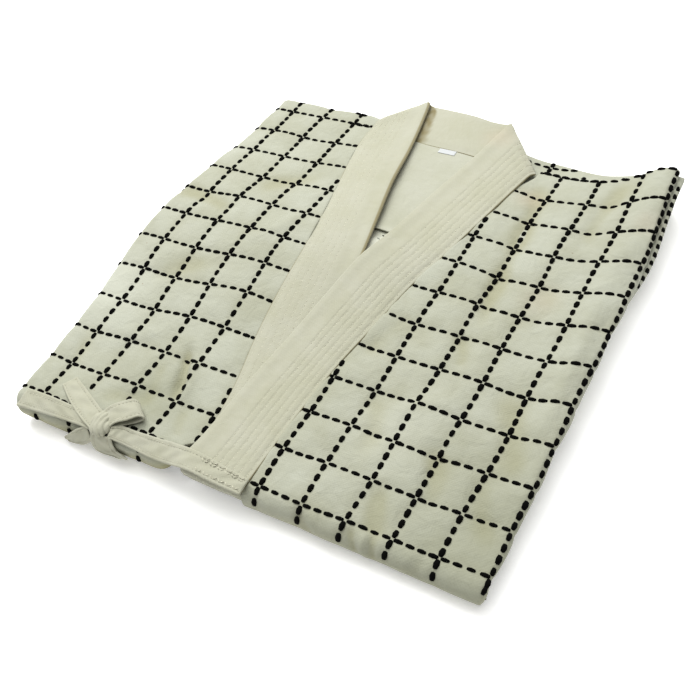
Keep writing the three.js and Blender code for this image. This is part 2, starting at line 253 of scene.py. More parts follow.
@dataclass(frozen=True)
class WovenCotton(Surface):
    """Woven cotton, with its thread, slubs, seed flecks and slow changes of tone."""

    light: str
    dark: str
    shade: str
    wear_and_shade: str  # painted shade: the colour in creases, beside the stitch lines, under the front roll and at the collar's edges
    thread: float  # mm from one thread to the next
    weave_depth: float  # mm
    crumple: float  # mm, depth of the fine unevenness of handled cloth
    flecks: float  # share of the fleck cells that hold one
    roughness: float
    sheen: float
    stains_and_painted_light: tuple[StainAndPaintedLight, ...] = ()

    def shader(self, tree: Tree) -> Node:
        """Add the finish's nodes.

        Args:
            tree: the node tree.

        Returns:
            The shader.
        """
        cloth = add_node(tree, "ShaderNodeUVMap", uv_map="cloth").outputs["UV"]
        place = add_node(tree, "ShaderNodeTexCoord").outputs["Object"]
        weave = self.weave(tree, cloth)
        slub_scale = add_node(tree, "ShaderNodeMapping", {"Vector": cloth, "Scale": SLUBS_PER_METRE})
        slub_noise = add_node(tree, "ShaderNodeTexNoise", {
            "Vector": slub_scale, "Scale": 1.0, "Detail": 3.0})
        slubs = slub_noise.outputs["Fac"]
        slub_tone, hollow_tone, slub_height = 0.26, 0.12, 1.4  # how strongly each shows
        slow = add_node(tree, "ShaderNodeTexNoise", {
            "Vector": place, "Scale": 26.0, "Detail": 7.0, "Roughness": 0.62})
        tone = add_node(tree, "ShaderNodeMapRange", {
            "Value": slow.outputs["Fac"], "From Min": 0.36, "From Max": 0.66, "To Min": 0.0, "To Max": 1.0})
        crumple = add_node(tree, "ShaderNodeTexNoise", {
            "Vector": place, "Scale": 85.0, "Detail": 4.0, "Roughness": 0.55, "Distortion": 0.6})
        colour = colour_blend(tree, tone.outputs[0], linear(self.light), linear(self.dark))
        thread_tone = math_node(tree, "MULTIPLY", slubs, slub_tone)
        # Painted shade in the weave's hollows; the slubs add a darker tone of their own.
        hollow = math_node(tree, "MULTIPLY", math_node(tree, "SUBTRACT", 1.0, weave), hollow_tone)
        valley = add_node(tree, "ShaderNodeAttribute", attribute_name="valley").outputs["Fac"]
        colour = colour_blend(tree, math_node(tree, "ADD", thread_tone, hollow), colour, linear(self.shade))
        # Painted shade where the mesh's valley attribute is set.
        colour = colour_blend(tree, valley, colour, linear(self.wear_and_shade))
        # Real stains, and patches of painted light and painted shade.
        for patch in self.stains_and_painted_light:
            colour = colour_blend(tree, self.patch(tree, place, patch), colour, linear(patch.colour))
        colour = colour_blend(tree, self.seed_flecks(tree, cloth), colour, linear(SEED_HUSK))
        height = math_node(tree, "ADD", weave, math_node(tree, "MULTIPLY", slubs, slub_height))
        handled = add_node(tree, "ShaderNodeBump", {
            "Height": crumple.outputs["Fac"], "Strength": 0.6, "Distance": self.crumple * MM})
        bump = add_node(tree, "ShaderNodeBump", {
            "Height": height, "Strength": 0.5, "Distance": self.weave_depth * MM,
            "Normal": handled})
        return add_node(tree, "ShaderNodeBsdfPrincipled", {
            "Base Color": colour, "Roughness": self.roughness, "IOR": 1.5, "Specular IOR Level": 0.25,
            "Sheen Weight": self.sheen, "Sheen Roughness": 0.55, "Normal": bump})

    def weave(self, tree: Tree, cloth: Socket) -> Socket:
        """Add a plain weave, threads crossing over and under.

        Args:
            tree: the node tree.
            cloth: the cloth coordinates.

        Returns:
            The weave's height, from 0 to 1.
        """
        turn = math.pi / (self.thread * MM)
        split = add_node(tree, "ShaderNodeSeparateXYZ", {"Vector": cloth})
        waves = (math_node(tree, "SINE", math_node(tree, "MULTIPLY", split.outputs[k], turn)) for k in (0, 1))
        crossing = math_node(tree, "MULTIPLY", *waves)
        return math_node(tree, "MULTIPLY_ADD", crossing, 0.5, 0.5)

    def seed_flecks(self, tree: Tree, cloth: Socket) -> Socket:
        """Find the few bits of cotton seed left in the cloth.

        Args:
            tree: the node tree.
            cloth: the cloth coordinates.

        Returns:
            How strongly a fleck shows at each place.
        """
        cell = 21.0  # mm, at most one fleck in each cell
        speck = 0.62  # mm, half a fleck's length
        strength = 0.7
        long = 1.7  # a fleck's length over its width
        scaled = add_node(tree, "ShaderNodeMapping", {
            "Vector": cloth, "Rotation": (0, 0, 0.7), "Scale": (1 / (cell * MM), long / (cell * MM), 1)})
        cells = add_node(tree, "ShaderNodeTexVoronoi", {"Vector": scaled, "Scale": 1.0})
        chance = add_node(tree, "ShaderNodeSeparateColor", {"Color": cells.outputs["Color"]}).outputs[0]
        kept = math_node(tree, "LESS_THAN", chance, self.flecks)
        near = math_node(tree, "LESS_THAN", cells.outputs["Distance"], speck / cell)
        return math_node(tree, "MULTIPLY", math_node(tree, "MULTIPLY", kept, near), strength)

    @staticmethod
    def patch(tree: Tree, place: Socket, patch: StainAndPaintedLight) -> Socket:
        """Add one patch of stain, painted light or painted shade, soft at its edge.

        Args:
            tree: the node tree.
            place: the coordinates of the object.
            patch: where it lies and how strong it is.

        Returns:
            How strongly the patch shows at each place.
        """
        centre = (Vector((patch.x, patch.y, 0)) - Vector(CENTRE)) * MM
        flat = add_node(tree, "ShaderNodeMapping", {
            "Vector": place, "Location": -centre, "Scale": (1, 1, 0)})
        away = add_node(tree, "ShaderNodeVectorMath", {0: flat}, operation="LENGTH")
        soft = add_node(tree, "ShaderNodeMapRange", {
            "Value": away.outputs["Value"], "From Min": 0.0, "From Max": patch.reach * MM,
            "To Min": patch.strength, "To Max": 0.0}, interpolation_type="SMOOTHSTEP")
        return soft.outputs[0]


@dataclass(frozen=True)
class TwistedThread(Surface):
    """Cotton thread of several plies: a matt body with fine twisted ridges."""

    colour: str
    ply: float  # mm from one ridge to the next
    roughness: float

    def shader(self, tree: Tree) -> Node:
        """Add the finish's nodes.

        Args:
            tree: the node tree.

        Returns:
            The shader.
        """
        place = add_node(tree, "ShaderNodeTexCoord").outputs["Object"]
        wave_repeat = 0.314  # metres from one band to the next at scale 1
        twist = add_node(tree, "ShaderNodeTexWave", {
            "Vector": place, "Scale": wave_repeat / (self.ply * MM), "Distortion": 1.5},
            bands_direction="DIAGONAL")
        fuzz = add_node(tree, "ShaderNodeTexNoise", {"Vector": place, "Scale": 900.0, "Detail": 2.0})
        tone = add_node(tree, "ShaderNodeMapRange", {
            "Value": fuzz.outputs["Fac"], "From Min": 0.3, "From Max": 0.7, "To Min": 0.75, "To Max": 1.35})
        colour = add_node(tree, "ShaderNodeVectorMath", {
            0: linear(self.colour)[:3], 1: tone}, operation="MULTIPLY").outputs[0]
        bump = add_node(tree, "ShaderNodeBump", {
            "Height": twist.outputs["Fac"], "Strength": 0.5, "Distance": 0.25 * MM})
        return add_node(tree, "ShaderNodeBsdfPrincipled", {
            "Base Color": colour, "Roughness": self.roughness, "IOR": 1.5, "Specular IOR Level": 0.06,
            "Normal": bump})


@dataclass(frozen=True)
class LitBoard(Surface):
    """Matt white board, lit a little from beneath as a product table is."""

    colour: str
    glow: float

    def shader(self, tree: Tree) -> Node:
        """Add the finish's nodes.

        Args:
            tree: the node tree.

        Returns:
            The shader.
        """
        return add_node(tree, "ShaderNodeBsdfPrincipled", {
            "Base Color": linear(self.colour), "Roughness": 0.95, "Emission Color": linear(self.colour),
            "Emission Strength": self.glow})


# Sashiko cotton: unbleached body cloth, creamy with a green-grey cast, so the squares look soft and matt.
# Its true thread is 0.7 mm apart; it is drawn at 1.1 mm, as coarse as it needs to be to show.
SASHIKO = WovenCotton(
    "unbleached_sashiko_cotton", light="A9AB9C", dark="9D9E8B", shade="80816D", wear_and_shade="8A8763", thread=1.1,
    weave_depth=0.13, crumple=2.2, flecks=0.45, roughness=0.9, sheen=0.12,
    stains_and_painted_light=(
        StainAndPaintedLight(143, 27, 24, 0.1), StainAndPaintedLight(92, 129, 20, 0.14), StainAndPaintedLight(188, 120, 18, 0.1),
        # Painted shade: the two green-grey patches near the front edge.
        StainAndPaintedLight(182, -172, 125, 0.34, "77795F"), StainAndPaintedLight(-72, -154, 52, 0.34, "77795F"),
        # Painted light: the two pale patches that brighten the cloth.
        StainAndPaintedLight(-175, -75, 60, 0.8, "B4B6A8"), StainAndPaintedLight(103, -112, 42, 0.35, "B4B6A8"),
    ),
)
# Band cotton: a closer, smoother and yellower cloth, so the collar and ties read as a lighter, plainer cloth.
BAND = WovenCotton(
    "plain_woven_band_cotton", light="ACAC9C", dark="A5A591", shade="8D8A70", wear_and_shade="6E6237", thread=0.9,
    weave_depth=0.09, crumple=1.0, flecks=0.2, roughness=0.88, sheen=0.12, stains_and_painted_light=(StainAndPaintedLight(40, 190, 22, 0.14),),
)
# Lining cotton: thin plain sheeting, a little flatter than the band.
LINING = WovenCotton(
    "plain_lining_cotton", light="ADAE9F", dark="A5A694", shade="8D8B73", wear_and_shade="665C31", thread=0.9,
    weave_depth=0.07, crumple=1.4, flecks=0.2, roughness=0.9, sheen=0.1,
    # Painted light: the pale patch brightens the shaded bottom of the neck opening's V.
    stains_and_painted_light=(StainAndPaintedLight(8, 40, 24, 0.6, "CDCEC0"),),
)
# Label tape: bleached satin tape, whiter and slightly shiny.
LABEL_TAPE = WovenCotton(
    "bleached_label_tape", light="B8BBBC", dark="B0B3B3", shade="B4B6B0", wear_and_shade="A6A69A", thread=0.8,
    weave_depth=0.05, crumple=0.3, flecks=0.0, roughness=0.6, sheen=0.1,
)
# Sashiko thread: soft black cotton in several plies, which drinks in the light.
SASHIKO_THREAD = TwistedThread("black_sashiko_thread", "060605", ply=0.9, roughness=1.0)
# Sewing thread: cream, thin and a little smoother than the cloth it holds.
SEWING_THREAD = TwistedThread("cream_sewing_thread", "B6B4A1", ply=0.5, roughness=0.75)
GREY_THREAD = TwistedThread("grey_basting_thread", "85887F", ply=0.5, roughness=0.75)
# Table: matt white board lit from beneath, which keeps the shadows light and short.
FLOOR = LitBoard("white_product_table", "FBFBFA", glow=0.3)


class Finish(Enum):
    """The record's material slots."""

    SASHIKO = "sashiko_cotton"
    PLAIN = "plain_cotton"
    COLLAR = "collar_cotton"
    LABEL = "label_cloth"
    THREAD = "stitch_thread"


class Wardrobe:
    """The materials and the stitch maker, each built once."""

    def __init__(self) -> None:
        """Build them."""
        self.sashiko = SASHIKO.build()
        self.band = BAND.build()
        self.lining = LINING.build()
        self.label = LABEL_TAPE.build()
        self.black = SASHIKO_THREAD.build()
        self.cream = SEWING_THREAD.build()
        self.grey = GREY_THREAD.build()
        self.floor = FLOOR.build()
        self.stitches = StitchMaker()


# ---------- Meshes ----------

def make_object(name: str, points: Array, faces: Iterable[Sequence[int]], uv: Array,
                material: Material, valley: Array | None = None) -> Piece:
    """Make a smooth mesh object from points in millimetres.

    Args:
        name: the piece's name.
        points: its points in the jacket's frame.
        faces: its faces, each a run of point numbers.
        uv: cloth coordinates of each point in millimetres.
        material: its material.
        valley: how much painted shade the first points get, from 0 to 1; the others are 0.

    Returns:
        The object, at the origin, with its place in its mesh.
    """
    mesh = bpy.data.meshes.new(name)
    mesh.from_pydata(((points - CENTRE) * MM).tolist(), [], [list(f) for f in faces])
    layer = mesh.uv_layers.new(name="cloth")
    loops = np.zeros(len(mesh.loops), np.int32)
    mesh.loops.foreach_get("vertex_index", loops)
    layer.data.foreach_set("uv", (uv[loops] * MM).astype(np.float32).ravel())
    if valley is not None:
        filled = np.zeros(len(points), np.float32)
        filled[:valley.size] = valley.ravel()
        mesh.attributes.new("valley", "FLOAT", "POINT").data.foreach_set("value", filled)
    mesh.polygons.foreach_set("use_smooth", np.ones(len(mesh.polygons), bool))
    mesh.materials.append(material)
    mesh.validate()
    return put_in_scene(name, mesh)


def put_in_scene(name: str, data: bpy.types.ID) -> Piece:
    """Make an object and put it into the scene.

    Args:
        name: the object's name.
        data: its mesh, lamp or camera.

    Returns:
        The object.
    """
    thing = bpy.data.objects.new(name, data)
    bpy.context.scene.collection.objects.link(thing)
    return thing


def closed_shell(outer: Array, inner: Array, uv: Array, rim_bulge: float = 0.5,
                 rim_steps: int = 4) -> tuple[Array, list[list[int]], Array]:
    """Join two grids of points by a rounded rim.

    Args:
        outer: grid of the outer face, rows along and columns across.
        inner: grid of the inner face, of the same shape.
        uv: cloth coordinates of each grid point.
        rim_bulge: how far the rim stands out, as a share of half the thickness.
        rim_steps: number of strips round the rim.

    Returns:
        The points, the faces and the cloth coordinates.
    """
    rows, columns = outer.shape[:2]
    number = np.arange(rows * columns).reshape(rows, columns)
    shift = rows * columns
    quads = np.stack([number[:-1, :-1], number[:-1, 1:], number[1:, 1:], number[1:, :-1]], -1).reshape(-1, 4)
    faces = [quads, quads[:, ::-1] + shift]
    loop = border(number)
    flat_outer, flat_inner = outer.reshape(-1, 3), inner.reshape(-1, 3)
    middle = (flat_outer + flat_inner) / 2
    grid = middle.reshape(rows, columns, 3)
    away = np.zeros_like(grid)
    away[0] += unit(grid[0] - grid[1])
    away[-1] += unit(grid[-1] - grid[-2])
    away[:, 0] += unit(grid[:, 0] - grid[:, 1])
    away[:, -1] += unit(grid[:, -1] - grid[:, -2])
    away = unit(away.reshape(-1, 3)[loop])
    half = (flat_outer - flat_inner)[loop] / 2
    reach = np.linalg.norm(half, axis=1, keepdims=True) * rim_bulge
    rings, uvs = [flat_outer, flat_inner], [uv.reshape(-1, 2)] * 2
    previous, start = loop, 2 * shift
    for k in range(1, rim_steps):
        angle = math.pi * k / rim_steps
        rings.append(middle[loop] + half * math.cos(angle) + away * reach * math.sin(angle))
        uvs.append(uv.reshape(-1, 2)[loop] + (0.0, 1.0) * np.array(reach) * math.sin(angle))
        current = start + np.arange(len(loop))
        faces.append(np.stack([previous, current, np.roll(current, -1), np.roll(previous, -1)], -1))
        previous, start = current, start + len(loop)
    inner_loop = loop + shift
    faces.append(np.stack([previous, inner_loop, np.roll(inner_loop, -1), np.roll(previous, -1)], -1))
    return np.vstack(rings), np.vstack(faces).tolist(), np.vstack(uvs)


def shell_object(name: str, outer: Array, thickness: float, uv: Array, material: Material,
                 rim_bulge: float = 0.5, valley: Array | None = None) -> Piece:
    """Return a cloth wall, made thick inwards from its outer grid."""
    inner = outer - grid_normals(outer) * thickness
    return make_object(name, *closed_shell(outer, inner, uv, rim_bulge), material, valley)


def hand_over(piece: Piece, finish: Finish, *nodes: str) -> Piece:
    """Let a piece ride on the jacket and stand for its solids.

    Args:
        piece: the piece.
        finish: its slot; not used.
        nodes: the solids that it stands for.

    Returns:
        The same piece.
    """
    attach(piece, ROOT)
    if nodes:
        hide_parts(*nodes)
    LOG.info("%s: %d faces", piece.name, len(piece.data.polygons))
    return piece


# ---------- Stitches ----------

@dataclass
class StitchRun:
    """Stitches gathered so far: their middles, directions, outward directions and sizes."""

    places: list[Array] = field(default_factory=list)
    along: list[Array] = field(default_factory=list)
    up: list[Array] = field(default_factory=list)
    size: list[Array] = field(default_factory=list)

    def add(self, places: Array, along: Array, up: Array, size: Sequence[float]) -> None:
        """Add stitches of one size.

        Args:
            places: the middle of each, on the cloth.
            along: the direction of each.
            up: the outward direction at each.
            size: length, width and height in millimetres.
        """
        if len(places):
            self.places.append(np.asarray(places, float))
            self.along.append(unit(along))
            self.up.append(unit(up))
            self.size.append(np.tile(np.asarray(size, float), (len(places), 1)))


class StitchMaker:
    """Geometry Nodes tree that sets one rounded stitch on each point of a mesh."""

    INPUTS = (
        ("Dip", "NodeSocketFloat", 0.22), ("Bluntness", "NodeSocketFloat", 0.5),
        ("Size jitter", "NodeSocketFloat", 0.1), ("Seed", "NodeSocketInt", 7),
    )

    def __init__(self) -> None:
        """Build the tree once."""
        self.tree = bpy.data.node_groups.new("running_stitches", "GeometryNodeTree")
        face = self.tree.interface
        face.new_socket("Seats", in_out="INPUT", socket_type="NodeSocketGeometry")
        for name, kind, value in self.INPUTS:
            face.new_socket(name, in_out="INPUT", socket_type=kind).default_value = value
        face.new_socket("Thread", in_out="INPUT", socket_type="NodeSocketMaterial")
        face.new_socket("Stitches", in_out="OUTPUT", socket_type="NodeSocketGeometry")
        self.fill()

    def fill(self) -> None:
        """Add the nodes: a blunt bent grain, set on each seat by its direction and size."""
        tree = self.tree
        given = add_node(tree, "NodeGroupInput").outputs
        grain = add_node(tree, "GeometryNodeMeshUVSphere", {"Segments": 8, "Rings": 6, "Radius": 0.5})
        place = add_node(tree, "ShaderNodeSeparateXYZ", {
            "Vector": add_node(tree, "GeometryNodeInputPosition").outputs[0]}).outputs
        side = math_node(tree, "SIGN", place["X"])
        reach = math_node(tree, "ABSOLUTE", math_node(tree, "MULTIPLY", place["X"], 2.0))
        blunt = math_node(tree, "POWER", reach, given["Bluntness"])
        lengthwise = math_node(tree, "MULTIPLY", side, blunt)
        half = math_node(tree, "MULTIPLY", lengthwise, 0.5)
        bend = math_node(tree, "POWER", math_node(tree, "ABSOLUTE", lengthwise), 2.5)
        dip = math_node(tree, "MULTIPLY", bend, given["Dip"])
        bent = add_node(tree, "ShaderNodeCombineXYZ", {
            "X": half, "Y": place["Y"], "Z": math_node(tree, "SUBTRACT", place["Z"], dip)})
        grain = add_node(tree, "GeometryNodeSetPosition", {
            "Geometry": grain.outputs["Mesh"], "Position": bent})
        along, up, size = (
            add_node(tree, "GeometryNodeInputNamedAttribute", {"Name": name}, data_type="FLOAT_VECTOR")
            for name in ("stitch_along", "stitch_up", "stitch_size")
        )
        turn = add_node(tree, "FunctionNodeAxesToRotation", {
            "Primary Axis": up, "Secondary Axis": along}, primary_axis="Z", secondary_axis="X")
        spread = add_node(tree, "FunctionNodeRandomValue", {
            "Min": math_node(tree, "SUBTRACT", 1.0, given["Size jitter"]),
            "Max": math_node(tree, "ADD", 1.0, given["Size jitter"]), "Seed": given["Seed"]},
            data_type="FLOAT")
        chance = next(s for s in spread.outputs if s.enabled)
        scale = add_node(tree, "ShaderNodeVectorMath", {0: size, "Scale": chance}, operation="SCALE")
        set_on = add_node(tree, "GeometryNodeInstanceOnPoints", {
            "Points": given["Seats"], "Instance": grain, "Rotation": turn,
            "Scale": scale})
        solid = add_node(tree, "GeometryNodeRealizeInstances", {"Geometry": set_on})
        soft = add_node(tree, "GeometryNodeSetShadeSmooth", {"Geometry": solid})
        dyed = add_node(tree, "GeometryNodeSetMaterial", {
            "Geometry": soft, "Material": given["Thread"]})
        add_node(tree, "NodeGroupOutput", {"Stitches": dyed})

    def sew(self, name: str, run: StitchRun, thread: Material, **inputs: float) -> Piece:
        """Make one mesh of all the stitches of a run.

        Args:
            name: the piece's name.
            run: where the stitches are.
            thread: their material.
            inputs: the tree's inputs by name, with _ for a space.

        Returns:
            The stitches as a plain mesh object, riding on the jacket.
        """
        places = np.vstack(run.places)
        seats = bpy.data.meshes.new(name + "_seats")
        seats.from_pydata(((places - CENTRE) * MM).tolist(), [], [])
        for key, rows, unit_size in (("stitch_along", run.along, 1), ("stitch_up", run.up, 1),
                                     ("stitch_size", run.size, MM)):
            values = (np.vstack(rows) * unit_size).astype(np.float32)
            seats.attributes.new(key, "FLOAT_VECTOR", "POINT").data.foreach_set("vector", values.ravel())
        holder = put_in_scene(name + "_holder", seats)
        modifier = holder.modifiers.new("stitches", "NODES")
        modifier.node_group = self.tree
        sockets = {s.name: s.identifier for s in self.tree.interface.items_tree if s.in_out == "INPUT"}
        modifier[sockets["Thread"]] = thread
        for key, value in inputs.items():
            modifier[sockets[key.replace("_", " ")]] = value
        bpy.context.view_layer.update()
        evaluated = holder.evaluated_get(bpy.context.evaluated_depsgraph_get())
        mesh = bpy.data.meshes.new_from_object(evaluated)
        mesh.name = name
        bpy.data.objects.remove(holder)
        bpy.data.meshes.remove(seats)
        return hand_over(put_in_scene(name, mesh), Finish.THREAD)


# ---------- The folded jacket's form ----------

@dataclass(frozen=True)
class Relief:
    """A gentle rise or hollow of the top: where, how much and how far it fades."""

    rise: float
    x: float
    left: float
    right: float
    y: float
    front: float
    back: float

    def at(self, x: Array, y: Array) -> Array:
        """Work out the rise.

        Args:
            x, y: the places.

        Returns:
            The height that it adds there.
        """
        across = (x - self.x) / np.where(x < self.x, self.left, self.right)
        along = (y - self.y) / np.where(y < self.y, self.front, self.back)
        return self.rise * bell(across) * bell(along)


@dataclass(frozen=True)
class Pack:
    """Outer sizes of the folded jacket, and the height of its top."""

    left: float = -176
    right: float = 199.5
    front: float = -196.8
    shoulder: float = 189
    height: float = 24
    bulge_out: float = 11
    bulge_y: float = 5
    bulge_reach: float = 110
    taper: float = 6  # how much narrower the right side is at the shoulder
    reliefs: tuple[Relief, ...] = (
        Relief(12, -80, 400, 115, 15, 85, 85),
        Relief(-11, 90, 40, 45, 200, 60, 60),
        Relief(13, 200, 42, 60, 195, 75, 60),
        Relief(4.4, 181, 20, 18, 60, 110, 130),
        Relief(-6, 205, 75, 60, -205, 95, 95),  # the front corner sags
    )

    def top(self, x: Array, y: Array) -> Array:
        """Return the height of the top face over the floor."""
        x, y = paired(x, y)
        return self.height + sum(relief.at(x, y) for relief in self.reliefs)

    def left_edge(self, y: Array) -> Array:
        """Return the left side of the jacket, which swells half way along."""
        return self.left - self.bulge_out * bell((y - self.bulge_y) / self.bulge_reach)

    def right_edge(self, y: Array) -> Array:
        """Return the right side of the jacket, which tapers towards the shoulder."""
        return self.right - self.taper * smooth(60, 165, y)

    def on_top(self, x: Array, y: Array, lift: Array = 0.0) -> Array:
        """Return points over the top face."""
        x, y = paired(x, y)
        return np.stack([x, y, self.top(x, y) + lift], -1)


PACK = Pack()


@dataclass(frozen=True)
class Fold:
    """A rounded fold: the radius of its outer face and how far the cloth turns, in degrees."""

    radius: float
    turn: float

    @property
    def arc(self) -> float:
        """Length of cloth that goes round the fold."""
        return self.radius * math.radians(self.turn)

    def turned(self, share: Array) -> tuple[Array, Array]:
        """Return how far out and down the cloth has gone at a share of the turn."""
        angle = math.radians(self.turn) * share
        return self.radius * np.sin(angle), self.radius * (1 - np.cos(angle))


FRONT_FOLD = Fold(11.3, 142)
RIGHT_FOLD = Fold(3.8, 108)
LEFT_FOLD = Fold(6.5, 120)
SHOULDER_FOLD = Fold(5.4, 105)
LOW_SHOULDER = Fold(2.6, 75)
NO_FOLD = Fold(1e-6, 1e-3)
FRONT_LINE = PACK.front + 12.6  # where the top begins to turn down


@dataclass(frozen=True)
class Crease:
    """A soft trough or ridge between two places, deepest in its middle."""

    start: tuple[float, float]
    end: tuple[float, float]
    width: float
    height: float
    bow: float = 0.0

    def at(self, x: Array, y: Array) -> Array:
        """Work out the crease's height, faded towards both of its ends.

        Args:
            x, y: the places.

        Returns:
            The height that it adds, below 0 in a trough.
        """
        start, end = np.array(self.start, float), np.array(self.end, float)
        run = end - start
        length = np.linalg.norm(run)
        run = run / length
        along = ((x - start[0]) * run[0] + (y - start[1]) * run[1]) / length
        aside = -(x - start[0]) * run[1] + (y - start[1]) * run[0]
        aside = aside - self.bow * np.sin(np.clip(along, 0, 1) * math.pi)
        fade = smooth(-0.15, 0.3, along) * (1 - smooth(0.7, 1.15, along))
        return self.height * fade * bell(aside / self.width)


@dataclass(frozen=True)
class Ripple:
    """Slow unevenness of handled cloth, as a few crossing waves."""

    height: float
    length: float
    phase: float = 0.0

    def at(self, x: Array, y: Array) -> Array:
        """Add up the waves.

        Args:
            x, y: the places.

        Returns:
            Their height there.
        """
        turn = 2 * math.pi / self.length
        return self.height * (
            0.5 * np.sin(turn * (x * 0.83 + y * 0.31) + self.phase + 1.3 * np.sin(turn * 0.37 * y))
            + 0.35 * np.sin(
                turn * 1.37 * (y * 0.9 - x * 0.42) + 2.1 * self.phase + 0.9 * np.sin(turn * 0.5 * x))
            + 0.25 * np.sin(turn * 2.3 * (x * 0.5 + y * 0.62) + 0.7)
        )


@dataclass(frozen=True)
class Drift:
    """How far the stitch lines have moved from a true grid near a place."""

    x: float
    y: float
    reach_x: float
    reach_y: float
    across: float = 0.0
    along: float = 0.0

    def at(self, x: Array, y: Array) -> tuple[Array, Array]:
        """Return the moves in X and Y."""
        near = bell((x - self.x) / self.reach_x) * bell((y - self.y) / self.reach_y)
        return self.across * near, self.along * near


@dataclass(frozen=True)
class Seam:
    """Size of a running stitch: length, width and height."""

    length: float
    width: float
    height: float

    @property
    def size(self) -> tuple[float, float, float]:
        """The three sizes."""
        return self.length, self.width, self.height


LENGTHWISE = Seam(6.0, 3.9, 2.5)
CROSSWISE = Seam(6.4, 2.9, 2.1)
QUILTING = Seam(1.9, 0.6, 0.45)
EDGE_SEWING = Seam(1.5, 0.4, 0.3)
ZIGZAG = Seam(2.5, 0.75, 0.6)
STITCH_PITCH = 8.05  # from one running stitch to the next, 4 to a square
STITCH_LIFT = 0.22  # share of a stitch's height that its middle stands off the cloth


@dataclass(frozen=True)
class StitchGrid:
    """Lines of running stitches: lengthwise lines at columns, crosswise lines at rows."""

    columns: tuple[float, ...]
    rows: tuple[float, ...]
    drifts: tuple[Drift, ...] = ()
    per_side: int = 4
    wobble: float = 0.7  # mm of hand-sewn unevenness

    def moved(self, x: Array, y: Array) -> tuple[Array, Array]:
        """Follow the drifts.

        Args:
            x, y: the places.

        Returns:
            Where a place of the true grid has come to lie.
        """
        x, y = paired(x, y)
        moves = [drift.at(x, y) for drift in self.drifts]
        across = sum(m[0] for m in moves) + self.wobble * np.sin(y * 0.061 + 1.9 * np.sin(x * 0.043))
        along = sum(m[1] for m in moves) + self.wobble * np.sin(x * 0.068 + 1.6 * np.sin(y * 0.039) + 1)
        return x + across, y + along

    def unmoved(self, x: Array, y: Array) -> tuple[Array, Array]:
        """Follow the drifts back, in three steps.

        Args:
            x, y: the places.

        Returns:
            The true grid's place of a drifted one.
        """
        guess_x, guess_y = x, y
        for _ in range(3):
            there_x, there_y = self.moved(guess_x, guess_y)
            guess_x, guess_y = guess_x + x - there_x, guess_y + y - there_y
        return guess_x, guess_y

    def gap(self, x: Array, y: Array) -> tuple[Array, Array]:
        """Measure how near the lines are.

        Args:
            x, y: the places.

        Returns:
            The distances to the nearest lengthwise and to the nearest crosswise line.
        """
        x, y = self.unmoved(x, y)
        return (
            np.min([np.abs(x - c) for c in self.columns], axis=0),
            np.min([np.abs(y - r) for r in self.rows], axis=0),
        )

    def between(self, stops: Sequence[float]) -> Array:
        """Return the middles of the stitches between each two stops, clear of the stops."""
        shares = (np.arange(self.per_side) + 0.5) / self.per_side
        return np.concatenate([mix(a, b, shares) for a, b in zip(stops[:-1], stops[1:])])

    def lines(self) -> Iterator[tuple[Array, Array, tuple[float, float], Seam]]:
        """Go through the lines, lengthwise ones first.

        Yields:
            X and Y of each stitch on the true grid, a short step along the line, and the stitch's size.
        """
        for column in self.columns:
            stops = self.between(self.rows)
            yield np.full_like(stops, column), stops, (0, 0.5), LENGTHWISE
        for row in self.rows:
            stops = self.between(self.columns)
            yield stops, np.full_like(stops, row), (0.5, 0), CROSSWISE


